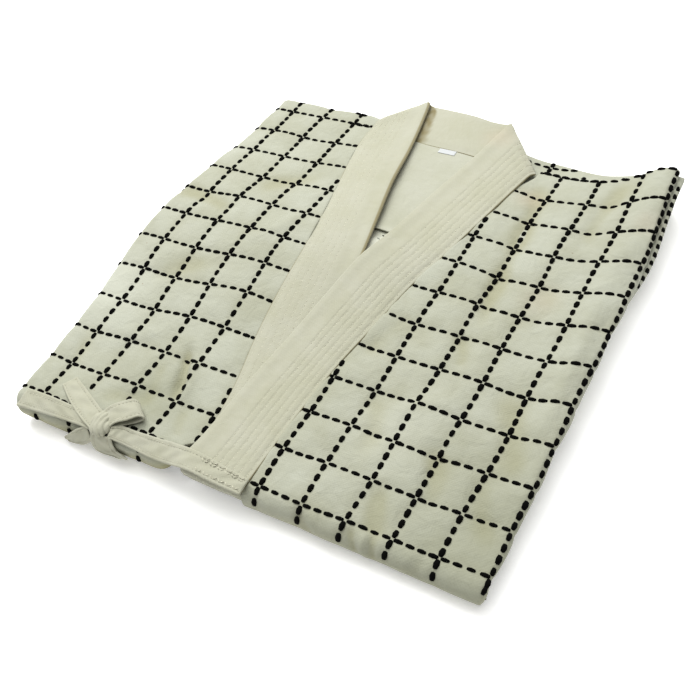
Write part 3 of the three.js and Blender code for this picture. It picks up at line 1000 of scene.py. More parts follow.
@dataclass
class Panel:
    """A front panel: a wall of quilted cloth, folded over at its edges, with its stitches."""

    name: str
    left_x: Callable[[Array], Array]
    right_x: Callable[[Array], Array]
    shoulder_y: Callable[[Array], Array]
    front_y: float
    folds: dict[str, Fold]
    grid: StitchGrid
    creases: tuple[Crease, ...]
    ripple: Ripple
    cut: tuple[float, float]
    loose: tuple[tuple[float, float, float, float], ...] = ()  # other rows: start and end
    shoulder_row: float = 0.0  # how far in from the shoulder a row follows it, if there is one
    thickness: float = 2.2
    wear_and_shade: float = 1.45  # how strongly the creases show
    pucker: float = 0.6  # how deep the stitches draw the cloth in
    puff: float = 0.7  # how high a square swells between them
    pinch: Callable[[Array], Array] | None = None  # share by which the front roll shrinks
    spacing: float = 2.2
    seam_side: float = 0.0  # which edge is sewn to the collar: -1 left, 1 right
    front_seen: float = 0.64  # share of the front roll's turn that has stitches in sight
    front_roll_shade: float = 0.3  # how much painted shade the front roll gets where it turns under

    def place(self, x: Array, y: Array) -> Array:
        """Lay the cloth over the top and round the folds, without its small relief.

        Args:
            x: cloth coordinate across, which runs on round the folds.
            y: cloth coordinate along, likewise.

        Returns:
            Points of the smooth outer face.
        """
        x, y = paired(x, y)
        left, right = self.left_x(y), self.right_x(y)
        flat_x = x
        # Across: the share of the turn round the left or the right fold.
        column, column_side = np.zeros_like(x), np.zeros_like(x)
        column_fold = NO_FOLD
        for key, over, side, edge in (("left", left - x, -1.0, left), ("right", x - right, 1.0, right)):
            if key in self.folds:
                share = np.maximum(over, 0) / self.folds[key].arc
                column_side = np.where(share > 0, side, column_side)
                column = np.maximum(column, share)
                flat_x = np.where(share > 0, edge, flat_x)
                column_fold = self.folds[key]
        # Along: the share of the turn round the front roll or the shoulder.
        shoulder = self.shoulder_y(flat_x)
        row_front = np.maximum(self.front_y - y, 0) / self.folds["front"].arc
        row_back = np.maximum(y - shoulder, 0) / self.folds["shoulder"].arc
        flat_y = np.clip(y, self.front_y, shoulder)
        row = np.maximum(row_front, row_back)
        row_side = np.where(row_front > 0, -1.0, 1.0)
        # At a corner both turn, and lean is the heading of the turn, from across to along.
        share = np.maximum(column, row)
        safe = np.maximum(share, 1e-9)
        quarter = math.pi / 4
        lean = np.where(column >= row, quarter * row / safe, 2 * quarter - quarter * column / safe)
        across_out, across_down = column_fold.turned(share)
        front_out, front_down = self.folds["front"].turned(share)
        if self.pinch is not None:
            shrink = 1 - self.pinch(flat_x)
            front_out, front_down = front_out * shrink, front_down * shrink
        front_down = front_down * np.minimum(PACK.top(flat_x, self.front_y) / PACK.height, 1)
        back_out, back_down = self.folds["shoulder"].turned(share)
        along_out = np.where(row_front > 0, front_out, back_out)
        along_down = np.where(row_front > 0, front_down, back_down)
        lean = np.where(column <= 0, 2 * quarter, lean)
        lean = np.where(row <= 0, 0.0, lean)
        bent = share > 0
        shift_x = np.where(bent, column_side * across_out * np.cos(lean), 0)
        shift_y = np.where(bent, row_side * along_out * np.sin(lean), 0)
        down = np.where(bent, mix(across_down, along_down, np.sin(lean) ** 2), 0)
        return np.stack([flat_x + shift_x, flat_y + shift_y, PACK.top(flat_x, flat_y) - down], -1)

    def normal(self, x: Array, y: Array) -> Array:
        """Return the outward direction of the smooth face.

        Args:
            x, y: the places.

        Returns:
            The direction at each place, of length 1.
        """
        step = 0.6
        across = self.place(x + step, y) - self.place(x - step, y)
        along = self.place(x, y + step) - self.place(x, y - step)
        return unit(np.cross(across, along))

    def relief(self, x: Array, y: Array) -> Array:
        """Return the small height of the worn cloth: puckers, swollen squares, creases and waves.

        Args:
            x, y: the places.

        Returns:
            The height over the smooth face.
        """
        near_column, near_row = self.grid.gap(x, y)
        pulled_column, pulled_row, slope = 2.6, 2.3, 12  # how far a line draws the cloth in, and it rises
        drawn = np.maximum(bell(near_column / pulled_column), bell(near_row / pulled_row))
        swell = smooth(0, slope, near_column) * smooth(0, slope, near_row)
        folded = np.maximum(self.front_y - y, 0) / self.folds["front"].arc
        calm = 1 - 0.75 * smooth(0.4, 0.8, folded)  # the cloth lies tighter where it turns under
        return calm * (self.puff * swell - self.pucker * drawn + self.unevenness(x, y))

    def unevenness(self, x: Array, y: Array) -> Array:
        """Return the height of the creases and waves alone."""
        return self.ripple.at(x, y) + self.wear_and_shade * sum(crease.at(x, y) for crease in self.creases)

    def valley(self, x: Array, y: Array) -> Array:
        """Find where the cloth gets painted shade: in troughs, beside the lines and where it is tucked under.

        Args:
            x, y: the places.

        Returns:
            How much painted shade each place gets, from 0 to 1.
        """
        near_column, near_row = self.grid.gap(x, y)
        reach = 4  # how far the painted shade spreads beside a line
        drawn = 0.1 * np.maximum(bell(near_column / reach), 0.7 * bell(near_row / reach))
        creased = 0.46 * smooth(0.2, 2.6, -self.unevenness(x, y))
        tucked = self.front_roll_shade * smooth(0.34, 0.8, (self.front_y - y) / self.folds["front"].arc)
        return np.clip(drawn + creased + tucked, 0, 1)

    def face(self, x: Array, y: Array) -> Array:
        """Return the finished outer face."""
        x, y = paired(x, y)
        return self.place(x, y) + self.normal(x, y) * self.relief(x, y)[..., None]

    def cloth_grid(self) -> tuple[Array, Array]:
        """Lay out the grid of points, rows along and columns across.

        Returns:
            The cloth coordinates across and along.
        """
        columns, rows = self.stations("left", "right"), self.stations("front", "shoulder")
        guess = mix(self.left_x(np.float64(0)), self.right_x(np.float64(0)), columns[0])
        shoulder = self.shoulder_y(guess)
        y = mix(self.front_y, shoulder[None, :], rows[0][:, None]) + rows[1][:, None]
        x = mix(self.left_x(y), self.right_x(y), columns[0][None, :]) + columns[1][None, :]
        return x, y

    def stations(self, before: str, after: str) -> tuple[Array, Array]:
        """Space the lines of the grid, closer together round the folds.

        Args:
            before: the fold at the lines' start, left or front.
            after: the fold at their end.

        Returns:
            Each line's share of the flat cloth, and its reach past it.
        """
        length = {"left": 190.0, "front": 365.0}[before]
        steps = round(length / self.spacing)
        flat, past = [np.linspace(0, 1, steps + 1)], [np.zeros(steps + 1)]
        fold_step = self.spacing * 0.6
        if before in self.folds:
            arc = self.folds[before].arc
            reach = np.linspace(-arc, 0, max(8, round(arc / fold_step)) + 1)[:-1]
            flat.insert(0, np.zeros(len(reach)))
            past.insert(0, reach)
        if after in self.folds:
            arc = self.folds[after].arc
            reach = np.linspace(0, arc, max(8, round(arc / fold_step)) + 1)[1:]
            flat.append(np.ones(len(reach)))
            past.append(reach)
        return np.concatenate(flat), np.concatenate(past)

    def inside(self, x: Array, y: Array, margin: float = 1.2) -> Array:
        """Find the places that lie on the panel.

        Args:
            x, y: the places.
            margin: how far inside the edge they have to be.

        Returns:
            True for each place that does.
        """
        left, right = self.left_x(y), self.right_x(y)
        arcs = {key: fold.arc for key, fold in self.folds.items()}
        low_x, high_x = left - arcs.get("left", 0), right + arcs.get("right", 0)
        shoulder = self.shoulder_y(np.clip(x, left, right)) + arcs["shoulder"]
        front = self.front_y - arcs["front"] * self.front_seen
        return (x > low_x + margin) & (x < high_x - margin) & (y > front + margin) & (y < shoulder - margin)

    def stitches(self) -> StitchRun:
        """Gather the running stitches: the grid, the other rows and the row at the shoulder.

        Returns:
            The stitches.
        """
        run = StitchRun()
        for line in self.grid.lines():
            self.stitch_line(run, *line)
        for x0, y0, x1, y1 in self.loose:
            count = max(1, round(math.hypot(x1 - x0, y1 - y0) / STITCH_PITCH))
            share = (np.arange(count) + 0.5) / count
            self.sew_on(run, mix(x0, x1, share), mix(y0, y1, share), (x1 - x0, y1 - y0))
        if self.shoulder_row:
            x = np.arange(self.left_x(160.0) + 6, self.right_x(170.0), STITCH_PITCH)
            self.sew_on(run, x, self.shoulder_y(x) - self.shoulder_row, (1, 0))
        return run

    def sew_on(self, run: StitchRun, x: Array, y: Array, way: tuple[float, float]) -> None:
        """Add crosswise stitches at cloth coordinates, along a direction.

        Args:
            run: the stitches gathered so far.
            x, y: the places.
            way: the direction.
        """
        long = 0.5 / math.hypot(*way)
        up = self.normal(x, y)
        ahead = self.place(x + way[0] * long, y + way[1] * long) - self.place(x, y)
        run.add(self.face(x, y) + up * CROSSWISE.height * STITCH_LIFT, ahead, up, CROSSWISE.size)

    def stitch_line(self, run: StitchRun, x: Array, y: Array, step: tuple[float, float],
                    seam: Seam) -> None:
        """Add the stitches of one line where the panel has cloth.

        Args:
            run: the stitches gathered so far.
            x: true X of each stitch on the grid.
            y: true Y of each.
            step: a short step along the line.
            seam: the stitch's size.
        """
        here, there = self.grid.moved(x, y), self.grid.moved(x + step[0], y + step[1])
        kept = self.inside(*here, margin=seam.length * 0.42 if step[0] else 1.2)
        here, there = [c[kept] for c in here], [c[kept] for c in there]
        places = self.face(*here)
        up = self.normal(*here)
        ahead = self.place(*there) - self.place(*here)
        run.add(places + up * seam.height * STITCH_LIFT, ahead, up, seam.size)
        if step[0] and self.seam_side and len(here[0]):
            self.reach_seam(run, here, seam)

    def reach_seam(self, run: StitchRun, here: Sequence[Array], seam: Seam) -> None:
        """Add a short stitch where a crosswise line stops short of the collar's seam.

        Args:
            run: the stitches gathered so far.
            here: X and Y of the line's stitches.
            seam: the stitch's size.
        """
        end = np.argmin(here[0]) if self.seam_side < 0 else np.argmax(here[0])
        x, y = here[0][end], here[1][end]
        edge = self.left_x(y) if self.seam_side < 0 else self.right_x(y)
        apart, least, into_seam = 0.9, 1.6, 0.2
        free = abs(x - edge) - seam.length / 2 - apart
        if not least < free < seam.length + 1:
            return
        x = np.array([edge - self.seam_side * (free / 2 + into_seam)])
        y = np.array([y])
        up = self.normal(x, y)
        ahead = self.place(x + 0.5, y) - self.place(x, y)
        size = (free, seam.width * 0.9, seam.height)
        run.add(self.face(x, y) + up * seam.height * STITCH_LIFT, ahead, up, size)

    def build(self, wardrobe: Wardrobe) -> None:
        """Make the wall and its stitches.

        Args:
            wardrobe: the materials.
        """
        x, y = self.cloth_grid()
        outer = self.face(x, y)
        uv = np.stack([x, y], -1)
        panel = shell_object(self.name + "_cloth", outer, self.thickness, uv, wardrobe.sashiko,
                             valley=self.valley(x, y))
        hand_over(panel, Finish.SASHIKO, self.name)
        run = self.stitches()
        stitches = wardrobe.stitches.sew(self.name + "_sashiko_stitches", run, wardrobe.black, Seed=11)


# ---------- Collar band ----------

# X, Y and lift over the top of the seam edge, then of the free edge.
BAND_ROWS = (
    (31, -195.5, -0.6, -17.5, -184, 3.2), (31.5, -172, -0.5, -15, -168, 3.0),
    (33.5, -120, -0.5, -11.5, -117, 2.8), (38, -76, -0.5, -5.5, -72, 2.8),
    (44, -40, -0.5, 0, -33, 3.4), (51, 6, -0.5, 6.5, 14, 4.6),
    (58, 36, -0.5, 13, 45, 3.2), (69, 90, -0.3, 21, 101, 1.6),
    (78, 142, 0.8, 33, 160, 1.8), (81, 157, 1.7, 40.2, 203.5, 1.9),
    (83, 161, 0.6, 41.0, 210.6, 0.8), (78, 160.5, -1.0, 38.5, 210.4, -0.8),
    (55, 161, -1.4, 28, 208, -0.4), (20, 163, -1.4, 8, 209.6, 0.2),
    (-28, 166, -1.4, -20, 211.2, 0.2), (-60, 177, -1.2, -34, 212.5, 0.4),
    (-69, 182.5, 0.4, -38.5, 213.5, 2.4), (-70, 180, 1.6, -36, 211, 4.2),
    (-71, 168, 0.4, -31, 190, 3.6), (-70.5, 143, -0.5, -23.4, 150, 2.6),
    (-60, 96, -0.5, -16.5, 105, 2.0), (-49, 52, -0.5, -6, 62, 1.5),
    (-41, 8, -0.5, 4, 16, 0.0), (-37, -35, -0.5, 10, -30, -3.4),
    (-31, -80, -0.5, 17, -80, -4.8), (-22, -122, -1.2, 24, -125, -4.8),
    (-18, -160, -2.4, 28, -165, -4.8), (-20, -181, -3.0, 28, -183, -5.4),
    (-22, -191.2, -9, 28, -191.6, -10), (-22, -190.8, -15, 28, -191, -15.5),
)
LEFT_ARM_ROWS = (0, 9)
RIGHT_ARM_ROWS = (18, 27)
TURNED_ROWS = (16, 19)  # where the band turns over at the wearer's right shoulder


@dataclass
class Collar:
    """The collar band, folded double, quilted in rows and turned over at both shoulders."""

    rows: tuple[tuple[float, ...], ...] = BAND_ROWS
    thickness: float = 3.2
    width: float = 48.5
    length: float = 1010.0
    quilt_first: float = 19.0  # from the free edge to the first quilting row
    quilt_pitch: float = 5.4
    quilt_rows: int = 6
    groove: float = 0.34
    seam_thickness: float = 1.9
    quilt_stitch: float = 3.0
    along_steps: int = 380
    across_steps: int = 64

    def __post_init__(self) -> None:
        """Work out the two edges."""
        self.seam_edge, self.free_edge = (
            Spline([PACK.on_top(*row[first:first + 3]) for row in self.rows]) for first in (0, 3)
        )

    def seam_x(self, y: Array, rows: tuple[int, int]) -> Array:
        """Find the collar's seam beside places along the body.

        Args:
            y: places along.
            rows: the first and last section to look between.

        Returns:
            X of the seam there.
        """
        shares = np.linspace(rows[0], rows[1], 401) / (len(self.rows) - 1)
        edge = self.seam_edge.at(shares)
        order = np.argsort(edge[:, 1])
        return np.interp(y, edge[order, 1], edge[order, 0])

    def middle(self, share: Array, across: Array) -> Array:
        """Return the band's middle surface; across is 0 at the free edge and 1 at the seam."""
        free, seam = self.free_edge.at(share), self.seam_edge.at(share)
        return mix(free, seam, np.asarray(across, float)[..., None])

    def quilt_lines(self) -> Array:
        """Return each quilting row's share of the band's width."""
        return (self.quilt_first + self.quilt_pitch * np.arange(self.quilt_rows)) / self.width

    def profile(self, share: Array, across: Array) -> Array:
        """Work out the quilted relief of the outer face.

        Args:
            share, across: shares of the length and, from the free edge, of the width.

        Returns:
            How far the face stands off its flat place.
        """
        reach = across * self.width
        along = share * self.length
        dips = np.zeros_like(reach)
        depth = self.groove * (1 + 0.25 * np.sin(along * 2 * math.pi / self.quilt_stitch))
        half_groove = 0.65
        for line in self.quilt_lines():
            dips = np.maximum(dips, depth * bell((reach - line * self.width) / half_groove))
        quilted = smooth(self.quilt_first - 4, self.quilt_first, reach)
        pucker = 0.09 * np.sin(along * 0.72 + 2.2 * np.sin(reach * 0.9) + 1.7 * np.sin(along * 0.11))
        rolling = 0.35 * np.sin(along * 0.047 + reach * 0.05)
        rolling = rolling + 0.25 * np.sin(along * 0.021 - reach * 0.11 + 1)
        hollow = -0.35 * bell((reach - 9.5) / 5)
        upper = 1 - 0.6 * smooth(0.5, 0.6, share)  # the arm beneath is pressed flatter
        return quilted * pucker * upper + rolling * 0.6 + hollow - dips * upper

    def half(self, across: Array) -> Array:
        """Return half the thickness, thinner where the band is sewn to the body."""
        thin = np.maximum(smooth(0.84, 1.0, across), 0.5 * (1 - smooth(0, 0.08, across)))
        return mix(self.thickness, self.seam_thickness, thin) / 2

    def edge_shade(self, share: Array, across: Array) -> Array:
        """Return how much warm brown painted shade the free edge gets beside the neck, from 0 to 1."""
        beside = smooth(0.515, 0.55, share) * (1 - smooth(0.8, 0.86, share))
        return 0.66 * beside * (1 - smooth(0.004, 0.03, across))

    def slot(self, points: Array, share: Array) -> Array:
        """Find the painted shade where the turned arm rests on the back of the band.

        Args:
            points: points in the jacket's frame.
            share: share of the length, from 0 to 1.

        Returns:
            How much warm brown painted shade it gets there, from 0 to 1.
        """
        edge = self.free_edge.at(np.linspace(*TURNED_ROWS, 40) / (len(self.rows) - 1))
        x = np.interp(points[:, 1], edge[::-1, 1], edge[::-1, 0])
        aside = points[:, 0] - x
        under = (1 - smooth(0.555, 0.57, share.ravel())) * smooth(0.45, 0.47, share.ravel())
        wear_and_shade = 0.85 + 0.15 * np.sin(points[:, 1] * 0.5 + 1.4 * np.sin(points[:, 0] * 0.7))
        long = smooth(158, 172, points[:, 1]) * (1 - smooth(205, 214, points[:, 1]))
        return 0.85 * wear_and_shade * under * (1 - smooth(3.5 + 3 * long, 5.5 + 4 * long, aside))

    def build(self, wardrobe: Wardrobe) -> None:
        """Make the band and its quilting stitches.

        Args:
            wardrobe: the materials.
        """
        share, across = share_grid(self.along_steps, self.across_steps)
        middle = self.middle(share, across)
        normals = grid_normals(middle)
        half = self.half(across)
        outer = middle + normals * (half + self.profile(share, across))[..., None]
        rolling = 0.2 * np.sin(share * self.length * 0.05 + across * 3)
        inner = middle - normals * (half - rolling)[..., None]
        uv = np.stack([across * self.width, share * self.length], -1)
        points, faces, uv = closed_shell(outer, inner, uv, rim_bulge=0.9, rim_steps=6)
        painted_shade = self.painted_shade_of(points, share, across)
        band = make_object("collar_band", points, faces, uv, wardrobe.band, painted_shade)
        hand_over(band, Finish.COLLAR, "collar")
        run = StitchRun()
        count = int(self.length / self.quilt_stitch)
        shares = (np.arange(count) + 0.5) / count
        for line in self.quilt_lines():
            self.stitch_row(run, shares, np.full(count, line))
        stitches = wardrobe.stitches.sew("collar_quilting_stitches", run, wardrobe.cream, Seed=3, Dip=0.5)

    def painted_shade_of(self, points: Array, share: Array, across: Array) -> Array:
        """Find the painted shade of every point: the outer face's edge, the inner face and the rim.

        Args:
            points: all points of the closed band.
            share, across: shares of the length and, from the free edge, of the width.

        Returns:
            How much warm brown painted shade each point gets, from 0 to 1.
        """
        shift = share.size
        beside_neck = self.edge_shade(share, across * 0.3).ravel()
        turned = np.maximum(self.slot(points[shift:2 * shift], share), beside_neck)
        edge = 1.2 * self.edge_shade(share, 0.0) * (1 - smooth(0.008, 0.036, across))
        faces = np.concatenate([edge.ravel(), turned])
        along, aside = border(share), border(across)
        on_seam = (aside > 0.99) & (along > 0) & (along < 1)
        shaded = 0.7  # the line of the collar seam lies in shade
        rim = np.maximum(self.edge_shade(along, aside), np.where(on_seam, shaded, 0.0))
        rings = (len(points) - 2 * shift) // len(rim)
        return np.concatenate([faces, np.tile(rim, rings)])

    def stitch_row(self, run: StitchRun, share: Array, across: Array) -> None:
        """Add one row of quilting stitches.

        Args:
            run: the stitches gathered so far.
            share, across: shares of the length and, from the free edge, of the width.
        """
        here = self.middle(share, across)
        ahead = self.middle(share + 0.0005, across) - self.middle(share - 0.0005, across)
        over = self.middle(share, across + 0.01) - self.middle(share, across - 0.01)
        up = unit(np.cross(over, ahead))
        proud = 0.04  # mm that a stitch stands out of its groove
        lift = self.half(across) + self.profile(share, across) + proud
        run.add(here + up * lift[:, None], ahead, up, QUILTING.size)


# ---------- Sleeves and the cloth inside the neck opening ----------

@dataclass
class Sleeve:
    """A sleeve laid flat behind its front: two layers that meet in a rounded fold."""

    name: str
    left_x: Callable[[Array], Array]
    right_x: Callable[[Array], Array]
    front_y: float
    shoulder_y: Callable[[Array], Array]
    under: Callable[[Array], Array]
    grid: StitchGrid
    thickness: float = 4.4
    floor_gap: float = 2.0
    seen_from: float = 158.0  # the front covers the cloth up to here, so it needs no stitches
    edge_row: tuple[float, float] = (0.0, 0.0)  # Y of both ends of the row along the right edge
    steps: tuple[int, int] = (90, 60)

    def face(self, x: Array, y: Array) -> Array:
        """Work out the upper face, over the layers beneath.

        Args:
            x, y: the places.

        Returns:
            Points of the face.
        """
        x, y = paired(x, y)
        height = PACK.top(x, y) - self.under(x) + 0.25 * np.sin(x * 0.09 + y * 0.05)
        return np.stack([x, y, np.maximum(height, self.thickness + self.floor_gap)], -1)

    def build(self, wardrobe: Wardrobe) -> None:
        """Make the sleeve and the stitches that show.

        Args:
            wardrobe: the materials.
        """
        along, across = share_grid(*self.steps)
        guess = mix(self.left_x(mix(self.front_y, 180.0, along)), self.right_x(0.0), across)
        y = mix(self.front_y, self.shoulder_y(guess), along)
        x = mix(self.left_x(y), self.right_x(y), across)
        outer = self.face(x, y)
        uv = np.stack([x, y], -1)
        piece = shell_object(self.name + "_cloth", outer, self.thickness, uv, wardrobe.sashiko, rim_bulge=0.8)
        hand_over(piece, Finish.SASHIKO, self.name)
        run = StitchRun()
        for line in self.grid.lines():
            self.stitch_line(run, *line)
        self.sew_edge(run)
        stitches = wardrobe.stitches.sew(self.name + "_sashiko_stitches", run, wardrobe.black, Seed=5)

    def sew_edge(self, run: StitchRun) -> None:
        """Add the row that shows on the sleeve's right edge, past the front.

        Args:
            run: the stitches gathered so far.
        """
        y = np.arange(*self.edge_row, STITCH_PITCH)
        if not len(y):
            return
        x = self.right_x(y)
        places = self.face(x, y) + (0.2, 0, -0.9)
        ahead = self.face(self.right_x(y + 0.5), y + 0.5) - self.face(x, y)
        outward = np.tile([0.8, 0.0, 0.6], (len(y), 1))
        run.add(places, ahead, outward, LENGTHWISE.size)

    def stitch_line(self, run: StitchRun, x: Array, y: Array, step: tuple[float, float],
                    seam: Seam) -> None:
        """Add the stitches of one line where the sleeve has cloth.

        Args:
            run: the stitches gathered so far.
            x, y: the places.
            step: a short step along the line.
            seam: the stitch's size.
        """
        shoulder = self.shoulder_y(x)
        margin = 2
        kept = (y < shoulder - margin) & (y > self.seen_from)
        kept &= (x > self.left_x(y) + 3) & (x < self.right_x(y) - margin)
        places = self.face(x[kept], y[kept]) + UP * 0.3
        run.add(places, np.tile((*step, 0), (len(places), 1)), np.tile(UP, (len(places), 1)), seam.size)


@dataclass
class Inset:
    """Flat cloth inside the neck opening."""

    name: str
    node: str
    box: tuple[float, float, float, float]  # left, right, front, back
    under: float
    thickness: float
    wave: float
    hidden: float = 0.0  # length of the cut that is out of sight under the collar
    under_back: float | None = None  # how deep it lies towards its back edge, where that differs
    slope: tuple[float, float] = (104, 152)  # Y where that depth starts to change and where it is reached
    back_line: tuple[tuple[float, float], ...] = ()  # X and Y of its back edge, where that isn't straight
    steps: int = 60

    def face(self, x: Array, y: Array) -> Array:
        """Work out the upper face, with slack folds that run from the neck.

        Args:
            x, y: the places.

        Returns:
            Points of the face.
        """
        wave = self.wave * (0.6 * np.sin(x * 0.13 + y * 0.035) + 0.4 * np.sin(x * 0.055 - y * 0.11 + 1))
        if self.under_back is None:
            return PACK.on_top(x, y, wave - self.under)
        near = smooth(*self.slope, y)
        return PACK.on_top(x, y, wave * (1 - 0.7 * near) - mix(self.under, self.under_back, near))

    def build(self, material: Material, finish: Finish, rests_on: str,
              with_pieces: Sequence[Piece] = ()) -> Piece:
        """Make the cloth.

        Args:
            material: its material.
            finish: its slot.
            rests_on: the piece that it lies on; not used.
            with_pieces: pieces that go with it; not used.

        Returns:
            The cloth.
        """
        left, right, front, back = self.box
        columns, rows = (np.linspace(*ends, self.steps + 1) for ends in ((left, right), (front, back)))
        y, x = np.meshgrid(rows, columns, indexing="ij")
        if self.back_line:
            end_x, end_y = np.array(self.back_line).T
            y = mix(front, np.interp(x, end_x, end_y), (y - front) / (back - front))
        piece = shell_object(self.name, self.face(x, y), self.thickness, np.stack([x, y], -1), material)
        hand_over(piece, finish, self.node)
        return piece


# ---------- Ties and bow ----------

@dataclass
class Strap:
    """A tie: cloth folded double and sewn beside both edges, swept through its sections."""

    name: str
    node: str
    sections: tuple[tuple[float, ...], ...]  # X, Y and Z of its first edge, then of its second
    thickness: float = 1.8
    hem: float = 1.9  # from the edge to the line of sewing
    crumple: float = 0.3
    box: float = 0.0  # share of its length that is sewn down with three zigzag rows
    along_steps: int = 90
    across_steps: int = 16

    def edges(self) -> list[Spline]:
        """Return the curves of its two edges."""
        return [Spline([section[first:first + 3] for section in self.sections]) for first in (0, 3)]

    def surface(self) -> tuple[Array, Array, Array]:
        """Work out the strap's middle surface.

        Returns:
            The points, and each one's share along and across.
        """
        share, across = share_grid(self.along_steps, self.across_steps)
        first, second = (edge.at(share) for edge in self.edges())
        return mix(first, second, across[..., None]), share, across

    def sew(self, run: StitchRun) -> None:
        """Add its sewing: a fine line beside both edges, and the zigzag rows over its sewn-down end.

        Args:
            run: the stitches gathered so far.
        """
        first, second = self.edges()
        length = path_length(first.at(np.linspace(0, 1, 200)))
        width = float(np.linalg.norm(first.at(0.5) - second.at(0.5)))
        margin = self.hem / width
        proud, near = 0.25, 0.004  # how far the thread stands out, and how far ahead its way is measured
        lines = [(side, 0.0, 1.0, 2.3, EDGE_SEWING.size, 0.0) for side in (margin, 1 - margin)]
        if self.box:
            lines += [(side, 0.01, self.box, 2.1, ZIGZAG.size, 0.75) for side in (0.1, 0.24, 0.8)]
        for across, start, end, pitch, size, turn in lines:
            count = max(2, int(length * (end - start) / pitch))
            share = mix(start, end, (np.arange(count) + 0.5) / count)
            here = mix(first.at(share), second.at(share), across)
            ahead = unit(mix(first.at(share + near), second.at(share + near), across) - here)
            over = unit(first.at(share) - second.at(share))
            up = unit(np.cross(ahead, over))
            up *= np.where(up[:, 2:].mean() < 0, -1.0, 1.0)
            zigzag = turn * np.where(np.arange(count) % 2, 1.0, -1.0)[:, None]
            run.add(here + up * (self.thickness / 2 + proud), ahead + over * zigzag, up, size)

    def build(self, wardrobe: Wardrobe, rests_on: str) -> Piece:
        """Make the strap.

        Args:
            wardrobe: the materials.
            rests_on: the piece that it lies on; not used.

        Returns:
            The strap.
        """
        middle, share, across = self.surface()
        normals = grid_normals(middle)
        if normals[..., 2].mean() < 0:
            middle, share, across = middle[:, ::-1], share[:, ::-1], across[:, ::-1]
            normals = grid_normals(middle)
        length = path_length(middle.mean(1))
        width = float(np.linalg.norm(middle[:, -1] - middle[:, 0], axis=1).mean())
        reach, along = across * width, share * length
        edge_gap = np.minimum(reach, width - reach)
        sewn = -0.3 * bell((edge_gap - self.hem) / 0.5)
        wander = 1.4 * np.sin(reach * 0.5) + 0.8 * np.sin(along * 0.13)
        wrinkles = self.crumple * np.sin(along * 0.42 + wander) * smooth(0, 3, edge_gap)
        half = self.thickness / 2
        outer = middle + normals * (half + sewn + wrinkles)[..., None]
        inner = middle - normals * (half + sewn * 0.5 - wrinkles * 0.6)[..., None]
        uv = np.stack([reach, along], -1)
        piece = make_object(self.name, *closed_shell(outer, inner, uv, rim_bulge=0.8), wardrobe.band)
        hand_over(piece, Finish.COLLAR, self.node)
        return piece


TIES = (
    Strap("tie_left_strap", "tie_left", (
        (33, -186, 27.4, 33, -197, 26.8), (14, -184.5, 29.2, 12, -197, 28.2),
        (-10, -182.6, 30.8, -10, -196, 29), (-28, -182, 28.4, -27, -195.2, 24.4),
        (-47.0, -182.5, 26.2, -42.3, -195.1, 22.6), (-63.7, -183.7, 26.4, -60.5, -194.2, 23.0),
        (-75.5, -184.5, 27.0, -71.7, -194.2, 24.0), (-80.9, -187.6, 27.6, -79.7, -194.7, 25.6)),
        box=0.245),
    Strap("tie_right_strap", "tie_right", (
        (-165.8, -183.6, 25.6, -167.1, -197.4, 22.4), (-144.8, -183.1, 26.0, -142.9, -195.1, 22.6),
        (-124.7, -183.5, 26.2, -123.3, -193.7, 23.0), (-108.0, -183.3, 27.2, -104.8, -193.9, 25.0),
        (-97.5, -183.6, 27.0, -92.9, -194.5, 25.4))),
    Strap("tie_right_free_end", "tie_right_tail", (
        (-92.5, -180.6, 27.0, -89.3, -196.2, 26.0), (-98.5, -178.4, 28.2, -99.3, -193.3, 27.6),
        (-112.4, -172.1, 27.8, -112.5, -188.0, 27.2), (-124.8, -166.5, 27.0, -127.8, -180.2, 26.6),
        (-137.2, -161.2, 26.2, -143.1, -170.4, 26.0)), along_steps=60, thickness=1.2),
    Strap("tie_left_free_end", "tie_left_tail", (
        (-100.4, -193.5, 25.0, -96.6, -198.4, 16.8), (-107.2, -195.8, 22.6, -107.2, -198.8, 8.1),
        (-113.4, -198.6, 18.8, -116.4, -199.0, 4.9), (-126.3, -198.8, 6.9, -123.8, -199.0, 3.7)),
        along_steps=60, thickness=1.4),
    Strap("bow_upper_loop", "bow_loop", (
        (-94.6, -180.3, 29.0, -83.3, -191.4, 27.6), (-90.3, -175.1, 31.6, -79.4, -185.6, 30.4),
        (-83.7, -169.8, 33.0, -71.2, -180.3, 32.0), (-77.5, -165.0, 33.0, -64.7, -174.4, 32.0),
        (-74.7, -164.1, 30.6, -61.8, -173.6, 29.6), (-77.8, -167.6, 27.6, -66.4, -176.6, 27.0),
        (-84.1, -175.2, 26.8, -76.8, -184.2, 26.6), (-88.8, -182.9, 27.0, -81.9, -191.2, 27.0)),
        thickness=1.3),
    Strap("bow_lower_loop", "bow_loop_lower", (
        (-93.6, -197.2, 25.0, -77.5, -195.1, 25.6), (-94.8, -199.0, 18.5, -76.2, -196.8, 21.4),
        (-94.1, -199.6, 10.1, -75.4, -197.4, 16.2), (-86.7, -200.0, 9.3, -71.0, -198.4, 15.2),
        (-73.9, -199.8, 11.2, -65.1, -198.6, 12.8), (-78.2, -197.8, 7.4, -69.0, -197.0, 10.9),
        (-89.1, -197.4, 8.8, -76.4, -196.6, 13.4), (-92.2, -197.2, 16.4, -78.3, -196.4, 21.5)),
        thickness=1.3),
)


